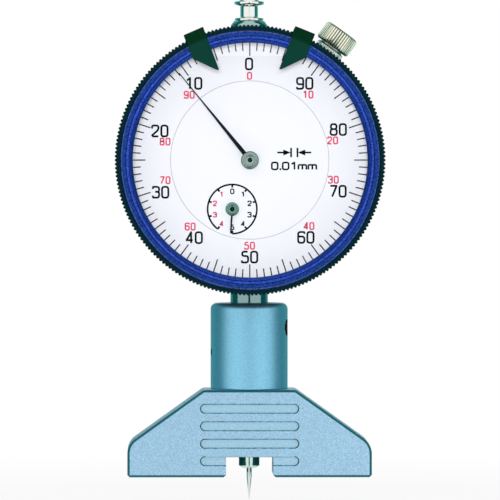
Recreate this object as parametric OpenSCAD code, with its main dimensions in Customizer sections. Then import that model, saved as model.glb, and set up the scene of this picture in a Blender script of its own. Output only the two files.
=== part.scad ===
// Dial depth gauge: a flat base with a sight notch, a needle on a spring-loaded spindle, and a
// dial driven by a rack and a train of small gears.
// +X is to the right of the dial, +Y is to the back and +Z is up. The origin lies on the
// spindle's axis, in the plane of the measuring face.

/* [Base] */
// Width of the base, left to right
base_w = 51.8; // [46:0.2:64]
// Thickness of the base, front to back
base_t = 16; // [14:0.5:22]
// Height of the base
base_h = 18.5; // [17:0.5:23]
// Width of the flat top of the base
base_top_w = 19.6; // [18:0.2:26]
// Height at which the upright side would meet the slope
base_side_h = 7.0; // [6:0.1:9]
// Radius between the upright side and the slope
base_corner_r = 4; // [2:0.5:5]
// Radius between the slope and the flat top
base_top_r = 1.2; // [1:0.1:2]
// Chamfer round the faces of the base
base_edge = 0.5; // [0.2:0.1:0.8]
// Width of the sight notch
notch_w = 10; // [8:0.5:12]
// Height of the sight notch
notch_h = 4.25; // [4.2:0.05:5]
// Number of grip grooves on each face
groove_count = 4; // [2:1:4]
// Length of a grip groove
groove_len = 20.7; // [16:0.1:24]
// Height of a grip groove
groove_h = 1.8; // [1.2:0.1:2.4]
// Depth of a grip groove
groove_deep = 0.6; // [0.3:0.1:1]
// Distance between one groove and the next
groove_pitch = 3.7; // [3:0.1:4]
// Height of the lowest groove's middle
groove_first_z = 3.44; // [3:0.02:4]

/* [Sleeve and stem] */
// Radius of the clamping sleeve on the base
sleeve_r = 8.2; // [7.5:0.1:8.4]
// Length of the sleeve above the base
sleeve_len = 18.3; // [15:0.1:24]
// Fillet round the sleeve's top
sleeve_fillet = 1.3; // [0.5:0.1:2]
// Relief round the sleeve's foot, which shows as a dark seam
sleeve_relief = 0.25; // [0.1:0.05:0.4]
// Radius of the spigot that seats the sleeve in the base
spigot_r = 5.5; // [5:0.1:6.5]
// Length of that spigot
spigot_len = 5; // [3:0.5:6]
// Height of the stem's lower end above the base
stem_lift = 2; // [1:0.5:4]
// Radius of the stem
stem_r = 4; // [3.8:0.1:4.5]
// Radius of the stem's bore
stem_bore_r = 3.2; // [3:0.1:3.4]
// Radius of the sleeve's set screw
set_screw_r = 1.8; // [1.5:0.05:2.2]
// Depth of the set screw's axis below the sleeve's top
set_screw_drop = 5.2; // [4.5:0.1:8]
// Turn of the set screw from the right towards the front
set_screw_turn = 11; // [0:1:20]
// Radius of the sleeve's dowel pin
dowel_r = 0.75; // [0.5:0.05:1]
// Height of the dowel's axis above the base
dowel_lift = 7.9; // [5:0.1:9]
// Turn of the dowel from the left towards the front
dowel_turn = 9; // [0:1:20]
// Length of stem that shows between the sleeve and the bezel
stem_show = 1.9; // [1.5:0.01:6]

/* [Dial case] */
// Outer radius of the case
case_r = 26.5; // [24:0.1:32]
// Wall of the case
case_wall = 2; // [1.5:0.1:2.2]
// Depth of the case in front of the spindle's axis
case_front = 8; // [7.8:0.1:9]
// Depth of the case behind the spindle's axis
case_rear = 7.4; // [6.5:0.1:9]
// Thickness of the case's front web, which carries the dial
web_t = 1.2; // [1:0.1:1.5]
// How far the web stands in front of the case's shoulder
web_step = 0.8; // [0.5:0.1:1]
// Length of the neck that the bezel turns on, in front of the web
neck_len = 1.6; // [1.3:0.1:2]
// Wall of the neck
neck_wall = 0.7; // [0.6:0.05:0.8]
// Thickness of the back cover
cover_t = 1.2; // [0.8:0.1:2]
// Radius of the back cover's rounded edge
cover_edge = 0.7; // [0.3:0.1:0.7]
// Radius of the boss round the stem
stem_boss_r = 5.5; // [5:0.1:6.5]
// How far that boss reaches below the case
stem_boss_drop = 1.2; // [0.8:0.1:1.6]

/* [Bezel and dial] */
// How far the bezel reaches outside the case, with its serrations
bezel_over = 2; // [1.8:0.05:2.3]
// Depth of the bezel
bezel_deep = 7.9; // [7:0.1:10]
// Number of serrations round the bezel
serration_count = 210; // [120:10:240]
// Depth of a serration
serration_deep = 0.35; // [0.2:0.05:0.4]
// Width of the serrated rim, seen from the front
rim_w = 1.1; // [0.9:0.1:1.4]
// Width of the blue band
band_w = 2.7; // [2.5:0.05:3]
// How far the blue band stands in front of the rim
band_proud = 0.3; // [0.1:0.1:0.5]
// Thickness of the blue band
band_t = 1.1; // [0.9:0.1:1.4]
// Distance of the band's turned line from its outer edge
band_line_in = 1.25; // [0.9:0.05:1.5]
// Width of that line
band_line_w = 0.2; // [0.1:0.05:0.3]
// Width of the band's inner bevel
band_bevel = 0.6; // [0.3:0.05:0.7]
// How far the crystal reaches under the band
crystal_seat = 0.65; // [0.5:0.05:0.8]
// Thickness of the crystal
crystal_t = 1.2; // [0.8:0.1:1.5]
// How far the bezel's wall stands back behind the band's inner edge
wall_back = 0.2; // [0.1:0.05:0.3]
// Radius of the fixed dial, where the turning scale starts
dial_r = 16.7; // [15:0.1:18]
// Thickness of the dial and of the scale
dial_t = 0.4; // [0.3:0.05:0.5]
// Radius of the wire that holds the bezel on its neck
wire_r = 0.3; // [0.2:0.05:0.3]

/* [Gear train] */
// Distance between the dial's centre and the small dial's centre
train_dist = 11; // [10.8:0.1:11.4]
// Depth of the rack's pitch line under the spindle's surface
rack_line = 0.283; // [0.25:0.001:0.32]
// Number of teeth of each large wheel
wheel_teeth = 100; // [100:1:100]
// Number of teeth of the centre pinion
pinion_teeth = 10; // [10:1:10]
// Number of teeth of the rack pinion
rack_pinion_teeth = 16; // [16:1:16]
// Spindle travel for one turn of the rack pinion
turn_travel = 10; // [10:1:10]
// Pinion teeth between the two large wheels
takeup_step = 6; // [5:1:6]
// Thickness of a large wheel
wheel_t = 0.6; // [0.4:0.1:0.8]
// Depth at which the large wheels' middle lies in front of the spindle's axis
wheel_y = 5; // [4.8:0.1:5.2]
// Share of the tooth pitch that a tooth fills
tooth_share = 0.42; // [0.36:0.01:0.45]
// Slope of a tooth's flank, in degrees
tooth_slope = 20; // [16:1:24]
// Length of the rack pinion's teeth
rack_pinion_w = 2.4; // [2:0.1:3]
// Radius of the arbors
arbor_r = 0.5; // [0.4:0.05:0.6]
// Radius of the arbors' rear pivots
pivot_r = 0.35; // [0.25:0.05:0.4]
// Gap between the movement plate and the cover's bosses
plate_clear = 0.8; // [0.4:0.1:1.2]
// Thickness of the movement plate and of the bridge
plate_t = 1; // [0.8:0.1:1.1]
// Gap between the spindle and the movement plate
plate_gap = 0.5; // [0.4:0.1:0.7]
// Turns of the hairspring
hair_turns = 5; // [3:1:6]
// Outer radius of the hairspring
hair_r = 5.2; // [4:0.1:6]
// Thickness of the hairspring's strip
hair_t = 0.12; // [0.1:0.01:0.16]

/* [Hands] */
// Distance between the main hand's tip and the blue band
hand_short = 1; // [0.5:0.1:4]
// Width of the main hand at its boss
hand_w = 1; // [0.8:0.05:1.4]
// Width of the main hand's tip
hand_tip_w = 0.2; // [0.15:0.05:0.4]
// Radius of the main hand's boss
hand_boss_r = 1.87; // [1.4:0.01:2.2]
// Reach of the small hand
small_reach = 5.2; // [4:0.1:6]
// Width of the small hand
small_w = 0.3; // [0.25:0.05:0.4]
// Radius of the small hand's boss
small_boss_r = 1.33; // [1:0.01:1.6]
// Thickness of a hand's blade
blade_t = 0.2; // [0.15:0.05:0.25]
// Thickness of a hand's boss
boss_t = 0.7; // [0.5:0.05:0.8]

/* [Limit hands] */
// Width of a limit hand's strap
limit_w = 4.3; // [3:0.1:4.5]
// Thickness of its sheet
limit_t = 0.5; // [0.3:0.05:0.55]
// Distance between the bezel and the strap's outer face
limit_stand = 1.1; // [0.9:0.05:1.15]
// Distance from the bezel's edge in to where the strap turns into the pointer
limit_kink_in = 3.8; // [2.5:0.1:4.5]
// Distance from the bezel's edge in to the pointer's tip
limit_tip_in = 8.3; // [6:0.1:9.5]
// Dial angle of the left hand's reading edge
limit_left_angle = 20; // [12:0.1:60]
// Dial angle of the right hand's reading edge
limit_right_angle = 18.7; // [12:0.1:60]

/* [Bezel clamp] */
// Dial angle of the clamp screw
clamp_angle = 36; // [30:1:50]
// Distance of the clamp screw's axis in front of the spindle's axis
clamp_y = 3; // [2.5:0.1:3.2]
// Radius of the knurled knob
knob_r = 3.75; // [3:0.05:3.9]
// Length of the knob
knob_len = 4.06; // [3:0.02:6]
// Distance between the case and the knob
knob_stand = 3.2; // [2.9:0.1:4.5]
// Ribs of the knurl
knurl_count = 42; // [24:2:60]
// Depth of the knurl
knurl_deep = 0.18; // [0.1:0.02:0.25]
// Radius of the collar under the knob
collar_r = 3.15; // [2.6:0.05:3.3]
// Radius of the clamp screw's shank
clamp_shank_r = 1.25; // [1:0.05:1.5]
// Thickness of the clamp shoe
shoe_t = 0.85; // [0.6:0.05:1]

/* [Spindle] */
// Radius of the spindle
spindle_r = 2.4; // [2.2:0.05:2.5]
// Height of the spindle's lower end
spindle_low_z = 10; // [9:0.5:11]
// Stroke of the spindle
stroke = 10.3; // [10:0.1:10.5]
// Radius of the needle holder
holder_r = 2.2; // [2:0.05:2.3]
// Height of the holder's lower shoulder
holder_z = 2.18; // [1.8:0.02:3]
// Radius at the end of the holder's nose
holder_nose_r = 1.15; // [0.9:0.05:1.5]
// Length of the holder's nose
holder_nose = 0.58; // [0.3:0.02:1]
// Radius of the needle
needle_r = 0.55; // [0.4:0.05:0.7]
// How far the needle stands below the measuring face
needle_out = 5.109; // [4:0.001:5.2]
// Radius of the needle's point
point_r = 0.06; // [0.04:0.01:0.15]
// Height of the lifting cap's foot above the case
cap_stand = 3.07; // [2.7:0.01:4.5]
// Radius of the lifting cap's lower flange
cap_foot_r = 3.05; // [2.4:0.05:3.2]
// Radius of the lifting cap's neck
cap_neck_r = 1.9; // [1.4:0.05:2]
// Radius of the lifting cap's upper flange
cap_head_r = 3.16; // [2.6:0.02:3.6]
// Length of the lifting cap, with the crown on its upper flange
cap_len = 4.8; // [4.2:0.1:6]
// Radius of the guide pin
pin_r = 0.8; // [0.6:0.05:1]
// Height of the guide pin below the dial's centre
pin_drop = 6.93; // [6:0.01:7.5]

/* [Return spring] */
// Number of curls of the return spring
curl_count = 16; // [8:1:17]
// Radius of a curl, to the wire's middle
curl_r = 1.1; // [0.8:0.05:1.2]
// Radius of the spring's wire
curl_wire_r = 0.15; // [0.1:0.01:0.16]
// Distance from the spindle's axis to the spring's axis
curl_x = 7.6; // [7.5:0.1:8.5]
// Height of the spring's anchor above the case's floor
anchor_h = 1.4; // [1:0.1:2]

/* [Fits] */
// Radial clearance of the spindle in its bushes
slide_fit = 0.03; // [0.01:0.01:0.08]
// Radial clearance of a turning shaft or rim
turn_fit = 0.06; // [0.03:0.01:0.1]
// Clearance of pieces that are pressed or screwed together
seat_fit = 0.01; // [0.005:0.005:0.03]
// Clearance between moving pieces that pass each other
pass_gap = 0.35; // [0.3:0.01:0.4]
// Axial gap at a turning shoulder
face_gap = 0.1; // [0.05:0.01:0.15]
// Radial clearance of the turning scale in the bezel
scale_fit = 0.05; // [0.02:0.01:0.08]

/* [Hidden] */
$fn = 96;
over = 1; // how far a cutter runs past what it cuts

// Base
slope = atan((base_h - base_side_h) / (base_w / 2 - base_top_w / 2));
corner_z = base_side_h + base_corner_r * tan(slope) - base_corner_r / cos(slope);
bore_r = spindle_r + pass_gap;

// Radii of the bezel, from outside to inside, and the dial's centre
bezel_r = case_r + bezel_over;
band_r = bezel_r - rim_w;
band_line_r = band_r - band_line_in;
band_in_r = band_r - band_w;
band_bevel_r = band_in_r + band_bevel;
crystal_r = band_in_r + crystal_seat;
bezel_wall_r = band_in_r + wall_back;
dial_z = base_h + sleeve_len + stem_show + bezel_r;

// Sleeve and stem
sleeve_top_z = base_h + sleeve_len;
stem_low_z = base_h + stem_lift;
case_floor_z = dial_z - case_r + case_wall;
stem_top_z = case_floor_z + 1;
bush_in_r = spindle_r + slide_fit;
lower_bush_len = 7.5;
screw_sunk = 0.35; // depth of the set screw's face below the sleeve
screw_socket = 1.6; // depth of its hexagon socket
dowel_sunk = 0.15; // depth of the dowel's end below the sleeve

// Case, from front to back
case_in_r = case_r - case_wall;
web_front_y = -case_front - web_step;
web_rear_y = web_front_y + web_t;
neck_r = case_r - pass_gap;
neck_front_y = web_front_y - neck_len;
cover_rear_y = case_rear + cover_t;
cover_screw_angles = [65, 115, 205, 335];
cover_screw_dist = case_in_r - 1.7;
cover_boss_r = 2;
screw_r = 0.85;
screw_len = 5;
screw_head_r = 1.7;
screw_slot = 0.35;
screw_slot_deep = 0.4;
cheese_r = 1.45;
cheese_h = 0.8;
screw_grip = 2; // of a plate's screw in the pillar under the plate
plate_screw_len = plate_t + screw_grip;
bridge_screw_len = 3;
hole_spare = 0.2; // how much deeper a screw's hole is than its shank

// Bezel, from front to back
bezel_rear_y = -case_front - face_gap;
bezel_front_y = bezel_rear_y - bezel_deep;
band_front_y = bezel_front_y - band_proud;
band_rear_y = band_front_y + band_t;
crystal_rear_y = band_rear_y + crystal_t;
scale_rear_y = web_front_y - face_gap;
scale_front_y = scale_rear_y - dial_t;
scale_in_r = dial_r + turn_fit + face_gap;
bezel_bore_r = neck_r + turn_fit;
bezel_bore_y = neck_front_y - face_gap;
lip_r = neck_r - neck_wall - face_gap;
scale_r = lip_r - scale_fit;
wire_y = (web_front_y + neck_front_y) / 2 + 0.2;
rim_chamfer = 0.4;
retainer_gap = 4; // between the ends of the retaining wire

// Movement
gear_module = train_dist * 2 / (wheel_teeth + pinion_teeth);
tooth_tip = 0.9; // height of a gear's tooth over its pitch circle, in modules
tooth_root = 1.15; // depth of the gap below it
window_share = 0.56; // distance of a wheel's windows from its middle, in pitch radii
window_r_share = 0.26; // radius of such a window
wheel_hub_r = 1.6;
wheel_pitch_r = gear_module * wheel_teeth / 2;
pinion_pitch_r = gear_module * pinion_teeth / 2;
rack_pitch = turn_travel / rack_pinion_teeth;
rack_pinion_pitch_r = turn_travel / (2 * PI);
rack_x = rack_line - spindle_r;
train_angle = 180 + acos((rack_pinion_pitch_r - rack_x) / train_dist);
takeup_angle = train_angle - 360 / pinion_teeth * takeup_step;
counter_pos = train_dist * [cos(train_angle), sin(train_angle)];
takeup_pos = train_dist * [cos(takeup_angle), sin(takeup_angle)];
plate_rear_y = -spindle_r - plate_gap;
plate_front_y = plate_rear_y - plate_t;
bridge_front_y = spindle_r + plate_gap + pass_gap;
bridge_rear_y = bridge_front_y + plate_t;
pillar_angles = [105, 190, 325];
pillar_r = 2;
plate_r = cover_screw_dist - cover_boss_r - plate_clear;
pillar_dist = plate_r - pillar_r;
plate_window_r = 4;
bridge_leg = [5.4, 5]; // of the bridge's legs from its arbor: left, and up or down
bridge_legs = [for (s = [1, -1]) counter_pos + [-bridge_leg[0], s * bridge_leg[1]]];
leg_r = 1.6;
bush_out_r = 1.1;
hand_lift = 1.5; // of the main hand's arbor over the dial
small_hand_lift = 0.6;
hand_y = web_front_y - dial_t - hand_lift;
small_hand_y = web_front_y - dial_t - small_hand_lift;
hand_reach = band_in_r - hand_short;
hair_front_y = web_rear_y + 0.7;
hair_w = 0.5;
collet_r = 0.9;

// Readings of the hands at rest, clockwise from the top
main_reading = -39.1;
small_reading = 183.9;

// Limit hands
limit_front_y = band_front_y - 0.15 - limit_t;
limit_rear_y = bezel_rear_y + 0.2;
limit_out = bezel_r + limit_stand;
limit_kink = bezel_r - limit_kink_in;
limit_tip = bezel_r - limit_tip_in;
limit_hook = bezel_r - 0.45;
limit_tip_r = 0.3;

// Clamp
shoe_start = case_r + 0.05;
shoe_w = 5.2;
knob_start = case_r + knob_stand;
knob_chamfer = 0.35;
shank_in = 0.8; // length of the clamp screw's shank inside the case

// Spindle
cap_z = dial_z + case_r + cap_stand;
cap_crown_r = cap_neck_r + 0.15;
cap_stud_r = 1;
cap_stud_len = 2.6;
holder_stud_r = 1.25;
holder_stud_len = 5.5;
needle_seat = 6; // length of the needle's hole in the holder
top_bush_in = 2.4; // length of the top bush inside the case
top_bush_flange_r = 3.9;
top_bush_top_r = 3.25;
top_bush_cone = 0.9; // height of its coned end
top_seat_z = dial_z + case_r - 0.5;
pin_z = dial_z - pin_drop;
rack_spare = 2; // length of the rack beyond each end of the stroke
rack_low_z = dial_z + counter_pos[1] - stroke - rack_spare;
rack_teeth = ceil((stroke + 2 * rack_spare) / rack_pitch);
guide_x = spindle_r + 2;
guide_w = 1.6;
anchor_z = dial_z - sqrt(pow(case_in_r, 2) - pow(curl_x, 2)) + anchor_h;
anchor_r = 0.9;
anchor_in = 1.3; // depth of the anchor's foot in the case's floor

// Stands the children at the dial's centre
module at_dial() {
    translate([0, 0, dial_z]) children();
}

// Stands the children at a point of the dial, given as [right, up]
module at_dial_point(p) {
    translate([p[0], 0, dial_z + p[1]]) children();
}

// Gives an outline that is drawn as seen from the front its depth, from y0 back to y1
module deep(y0, y1) {
    translate([0, y1, 0]) rotate([90, 0, 0]) linear_extrude(y1 - y0) children();
}

// A round bar along Y, from y0 back to y1
module bar(r, y0, y1) {
    deep(y0, y1) circle(r);
}

// Turns a profile of radius and depth about the dial's axis
module turned() {
    rotate([-90, 0, 0]) rotate_extrude() children();
}

// A ring, as an outline
module ring(r_out, r_in) {
    difference() {
        circle(r_out);
        circle(r_in);
    }
}

function polar(r, a) = [r * cos(a), r * sin(a)];

// Outline of a gear; its first tooth points along +X of the outline
function gear_outline(teeth, pitch_r, tip, root) =
    let (half = PI * pitch_r / teeth * tooth_share,
         tip_half = half - tip * tan(tooth_slope),
         root_half = half + root * tan(tooth_slope))
    [for (i = [0:teeth - 1]) let (a = i * 360 / teeth) each [
        polar(pitch_r - root, a - asin(root_half / (pitch_r - root))),
        polar(pitch_r + tip, a - asin(tip_half / (pitch_r + tip))),
        polar(pitch_r + tip, a + asin(tip_half / (pitch_r + tip))),
        polar(pitch_r - root, a + asin(root_half / (pitch_r - root)))
    ]];

// Outline of a serrated edge of v-shaped teeth
function serrated_outline(count, r, deep) =
    [for (i = [0:2 * count - 1]) polar(i % 2 == 0 ? r : r - deep, i * 180 / count)];

// A slotted countersunk screw whose head lies flush at depth y, with its shank towards the front
module countersunk_screw(y) {
    difference() {
        union() {
            translate([0, y, 0]) rotate([90, 0, 0])
                cylinder(h = screw_head_r - screw_r, r1 = screw_head_r, r2 = screw_r);
            bar(screw_r, y - screw_len, y - 0.1);
        }
        translate([-over - screw_head_r, y - screw_slot_deep, -screw_slot / 2])
            cube([2 * (over + screw_head_r), screw_slot_deep + over, screw_slot]);
    }
}

// The seat that such a screw needs
module countersunk_seat(y) {
    translate([0, y, 0]) rotate([90, 0, 0]) cylinder(
        h = screw_head_r - screw_r + seat_fit,
        r1 = screw_head_r + seat_fit, r2 = screw_r);
    screw_hole(y, screw_len);
}

// The hole for the shank of a screw whose head sits on or in depth y
module screw_hole(y, len) {
    bar(screw_r + seat_fit, y - len - hole_spare, y + over);
}

// A slotted cheese-head screw whose head sits on depth y, with its shank towards the front
module cheese_screw(y, len) {
    difference() {
        union() {
            bar(cheese_r, y, y + cheese_h);
            bar(screw_r, y - len, y + 0.1);
        }
        translate([-cheese_r - over, y + cheese_h / 2, -screw_slot / 2])
            cube([2 * (cheese_r + over), cheese_h / 2 + over, screw_slot]);
    }
}

// ---------------------------------------------------------------- base, sleeve and stem

// A grip groove as an outline, along x with round ends
module groove_outline() {
    square([groove_len - groove_h, groove_h], center = true);
    for (s = [-1, 1])
        translate([s * (groove_len - groove_h) / 2, 0]) circle(groove_h / 2);
}

module base() {
    color("lightsteelblue") difference() {
        hull() for (s = [-1, 1], cut = [0, base_edge]) {
            y = base_t / 2 - base_edge + cut;
            translate([s * (base_w / 2 - base_corner_r), 0, corner_z])
                bar(base_corner_r - cut, -y, y, $fn = 64);
            translate([s * (base_top_w / 2 - base_top_r * tan(slope / 2)), 0, base_h - base_top_r])
                bar(base_top_r - cut, -y, y, $fn = 32);
            translate([s * (base_w / 2 - cut - over / 2), 0, -over / 2])
                cube([over, 2 * y, over], center = true);
        }
        // measuring face, and its chamfered edges
        translate([-base_w, -base_t, -2 * over]) cube([2 * base_w, 2 * base_t, 2 * over]);
        for (s = [-1, 1]) {
            translate([0, s * base_t / 2, 0]) rotate([45, 0, 0])
                cube([2 * base_w, base_edge * sqrt(2), base_edge * sqrt(2)], center = true);
            translate([s * base_w / 2, 0, 0]) rotate([0, 45, 0])
                cube([base_edge * sqrt(2), 2 * base_t, base_edge * sqrt(2)], center = true);
        }
        // sight notch, with its own chamfers
        translate([-notch_w / 2, -base_t, -over]) cube([notch_w, 2 * base_t, notch_h + over]);
        for (s = [-1, 1])
            translate([s * notch_w / 2, 0, 0]) rotate([0, 45, 0])
                cube([base_edge * sqrt(2), 2 * base_t, base_edge * sqrt(2)], center = true);
        // grip grooves, front and rear
        for (i = [0:groove_count - 1], y = [-base_t / 2 - over, base_t / 2 - groove_deep])
            translate([0, 0, groove_first_z + i * groove_pitch])
                deep(y, y + groove_deep + over) groove_outline();
        // way for the spindle, and the seat of the sleeve's spigot
        cylinder(h = base_h + over, r = bore_r);
        translate([0, 0, base_h - spigot_len - 0.2])
            cylinder(h = spigot_len + 0.2 + over, r = spigot_r + seat_fit);
    }
}

module sleeve() {
    color("steelblue") difference() {
        rotate_extrude() difference() {
            union() {
                translate([0, base_h])
                    polygon([
                        [0, 0], [sleeve_r - sleeve_relief, 0], [sleeve_r, sleeve_relief],
                        [sleeve_r, sleeve_len - sleeve_fillet],
                        [sleeve_r - sleeve_fillet, sleeve_len - sleeve_fillet],
                        [sleeve_r - sleeve_fillet, sleeve_len], [0, sleeve_len]
                    ]);
                translate([sleeve_r - sleeve_fillet, sleeve_top_z - sleeve_fillet])
                    circle(sleeve_fillet);
                translate([0, base_h - spigot_len]) square([spigot_r, spigot_len]);
            }
            translate([-over, base_h - spigot_len - over])
                square([bore_r + over, sleeve_len + spigot_len + 2 * over]);
            translate([-over, stem_low_z]) square([stem_r + seat_fit + over, sleeve_len]);
            translate([-2 * sleeve_r, 0]) square([2 * sleeve_r, 2 * sleeve_top_z]);
        }
        set_screw_place() cylinder(h = sleeve_r + over, r = set_screw_r + seat_fit);
        dowel_place() cylinder(h = sleeve_r + over, r = dowel_r + seat_fit);
    }
}

// Stands the children on the spindle's axis, pointing out along the set screw
module set_screw_place() {
    translate([0, 0, sleeve_top_z - set_screw_drop]) rotate([0, 0, -set_screw_turn])
        rotate([0, 90, 0]) children();
}

// The same for the dowel, to the left
module dowel_place() {
    translate([0, 0, base_h + dowel_lift]) rotate([0, 0, dowel_turn])
        rotate([0, -90, 0]) children();
}

module sleeve_set_screw() {
    color("dimgray") set_screw_place() difference() {
        translate([0, 0, stem_r + seat_fit])
            cylinder(h = sleeve_r - stem_r - screw_sunk, r = set_screw_r);
        translate([0, 0, sleeve_r - screw_sunk - screw_socket])
            cylinder(h = screw_socket + over, r = set_screw_r / 2, $fn = 6);
    }
}

module sleeve_dowel() {
    color("dimgray") dowel_place() translate([0, 0, stem_r + seat_fit])
        cylinder(h = sleeve_r - stem_r - dowel_sunk, r = dowel_r);
}

module stem() {
    color("gainsboro") translate([0, 0, stem_low_z]) difference() {
        cylinder(h = stem_top_z - stem_low_z, r = stem_r);
        translate([0, 0, -over]) cylinder(h = stem_top_z, r = stem_bore_r);
    }
}

module lower_bush() {
    color("goldenrod") translate([0, 0, stem_low_z]) difference() {
        cylinder(h = lower_bush_len, r = stem_bore_r - seat_fit);
        translate([0, 0, -over]) cylinder(h = lower_bush_len + 2 * over, r = bush_in_r);
    }
}

// ---------------------------------------------------------------- case

module case() {
    color("darkslategray") difference() {
        union() {
            at_dial() {
                deep(-case_front, case_rear) ring(case_r, case_in_r);
                bar(neck_r, web_front_y, web_rear_y);
                deep(neck_front_y, web_front_y + 0.1) ring(neck_r, neck_r - neck_wall);
                for (a = pillar_angles) pillar(a, pillar_dist, pillar_r, plate_front_y);
                for (a = cover_screw_angles)
                    pillar(a, cover_screw_dist, cover_boss_r, case_rear);
            }
            translate([0, 0, dial_z - case_r - stem_boss_drop])
                cylinder(h = case_wall + stem_boss_drop, r = stem_boss_r);
        }
        // stem, top bush and its seat, spring anchor
        translate([0, 0, dial_z - case_r - 2 * stem_boss_drop])
            cylinder(h = case_r / 2, r = stem_r + seat_fit);
        translate([0, 0, dial_z + case_in_r - over])
            cylinder(h = 2 * case_wall, r = stem_bore_r + seat_fit);
        translate([0, 0, top_seat_z]) cylinder(h = case_wall, r = top_bush_flange_r + 0.1);
        translate([curl_x, 0, anchor_z - anchor_h - anchor_in - 0.1])
            cylinder(h = anchor_in + 0.1 + over, r = anchor_r + seat_fit);
        at_dial() {
            // arbors through the web
            bar(arbor_r + turn_fit, web_front_y - over, web_rear_y + over);
            // clamp screw
            rotate([0, clamp_angle, 0]) translate([0, -clamp_y, case_in_r - over])
                cylinder(h = 2 * case_wall, r = clamp_shank_r + turn_fit);
            // groove for the bezel's retaining wire
            turned() translate([neck_r, wire_y]) circle(wire_r + seat_fit);
            // screw holes in the pillars
            for (a = pillar_angles)
                rotate([0, -a, 0]) translate([pillar_dist, 0, 0])
                    screw_hole(plate_rear_y, plate_screw_len);
            for (a = cover_screw_angles)
                rotate([0, -a, 0]) translate([cover_screw_dist, 0, 0])
                    screw_hole(cover_rear_y, screw_len);
        }
        at_dial_point(counter_pos) bar(arbor_r + turn_fit, web_front_y - over, web_rear_y + over);
        at_dial_point(takeup_pos) bar(pivot_r + turn_fit, web_rear_y - 0.6, web_rear_y + over);
    }
}

// A pillar on the web's rear, at an angle and a distance from the dial's centre
module pillar(a, dist, r, y_end) {
    rotate([0, -a, 0]) translate([dist, 0, 0]) bar(r, web_rear_y - 0.2, y_end);
}

module back_cover() {
    color("silver") at_dial() difference() {
        turned() {
            translate([0, case_rear]) square([case_r - cover_edge, cover_t]);
            translate([0, case_rear]) square([case_r, cover_t - cover_edge]);
            intersection() {
                translate([case_r - cover_edge, cover_rear_y - cover_edge]) circle(cover_edge);
                translate([0, case_rear]) square([case_r, cover_t]);
            }
        }
        for (a = cover_screw_angles)
            rotate([0, -a, 0]) translate([cover_screw_dist, 0, 0]) countersunk_seat(cover_rear_y);
    }
}

module back_cover_screws() {
    color("gray") at_dial() for (a = cover_screw_angles)
        rotate([0, -a, 0]) translate([cover_screw_dist, 0, 0]) countersunk_screw(cover_rear_y);
}

module top_bush() {
    cone_z = cap_z - 0.05 - top_bush_cone;
    color("silver") difference() {
        union() {
            translate([0, 0, dial_z + case_in_r - top_bush_in])
                cylinder(h = case_wall + top_bush_in, r = stem_bore_r);
            translate([0, 0, top_seat_z])
                cylinder(h = cone_z - top_seat_z, r = top_bush_flange_r);
            translate([0, 0, cone_z])
                cylinder(h = top_bush_cone, r1 = top_bush_flange_r, r2 = top_bush_top_r);
        }
        translate([0, 0, dial_z]) cylinder(h = cap_z - dial_z + over, r = bush_in_r);
    }
}

module clamp_shoe() {
    color("silver") at_dial() rotate([0, clamp_angle, 0]) difference() {
        translate([-shoe_w / 2, -case_front, shoe_start])
            cube([shoe_w, case_front + 0.2, shoe_t]);
        translate([0, -clamp_y, shoe_start - over])
            cylinder(h = shoe_t + 2 * over, r = clamp_shank_r + turn_fit);
    }
}

// ---------------------------------------------------------------- bezel and dial

module bezel() {
    color("black") at_dial() intersection() {
        turned() difference() {
            polygon([
                [bezel_r + over, bezel_rear_y],
                [bezel_r + over, bezel_front_y + rim_chamfer + over],
                [bezel_r - rim_chamfer, bezel_front_y], [band_r + seat_fit, bezel_front_y],
                [band_r + seat_fit, band_rear_y], [crystal_r + seat_fit, band_rear_y],
                [crystal_r + seat_fit, crystal_rear_y], [bezel_wall_r, crystal_rear_y],
                [bezel_wall_r, scale_front_y], [lip_r, scale_front_y],
                [lip_r, bezel_bore_y], [bezel_bore_r, bezel_bore_y],
                [bezel_bore_r, bezel_rear_y]
            ]);
            translate([neck_r, wire_y]) circle(wire_r + 2 * turn_fit);
        }
        deep(bezel_front_y - over, bezel_rear_y + over)
            polygon(serrated_outline(serration_count, bezel_r, serration_deep));
    }
}

module bezel_band() {
    color("royalblue") at_dial() turned() polygon([
        [band_in_r, band_rear_y], [band_in_r, band_front_y + 0.2 + band_bevel],
        [band_bevel_r, band_front_y + 0.2], [band_bevel_r, band_front_y],
        [band_line_r - band_line_w / 2, band_front_y],
        [band_line_r - band_line_w / 2, band_front_y + band_line_w],
        [band_line_r + band_line_w / 2, band_front_y + band_line_w],
        [band_line_r + band_line_w / 2, band_front_y],
        [band_r - 0.2, band_front_y], [band_r, band_front_y + 0.2], [band_r, band_rear_y]
    ]);
}

module crystal() {
    color("lightcyan", 0.3) at_dial() bar(crystal_r, band_rear_y, crystal_rear_y);
}

module scale_ring() {
    color("white") at_dial() deep(scale_front_y, scale_rear_y) ring(scale_r, scale_in_r);
}

module inner_dial() {
    color("white") difference() {
        at_dial() bar(dial_r, web_front_y - dial_t, web_front_y);
        at_dial() bar(arbor_r + pass_gap, web_front_y - over, web_front_y + over);
        at_dial_point(counter_pos) bar(arbor_r + pass_gap, web_front_y - over, web_front_y + over);
    }
}

// An open wire ring between the neck and the bezel
module bezel_retainer() {
    color("silver") at_dial() difference() {
        turned() translate([neck_r, wire_y]) circle(wire_r);
        translate([-retainer_gap / 2, -2 * case_front, -case_r - over])
            cube([retainer_gap, 2 * case_front, case_r / 4]);
    }
}

// A limit hand seen from the front, its reading edge on the outline's +Y axis
module limit_outline() {
    polygon([[0, limit_tip + limit_tip_r], [0, limit_out], [-limit_w, limit_out],
             [-limit_w, limit_kink], [-1.7 * limit_tip_r, limit_tip + 0.3 * limit_tip_r]]);
    translate([-limit_tip_r, limit_tip + limit_tip_r]) circle(limit_tip_r);
}

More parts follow.
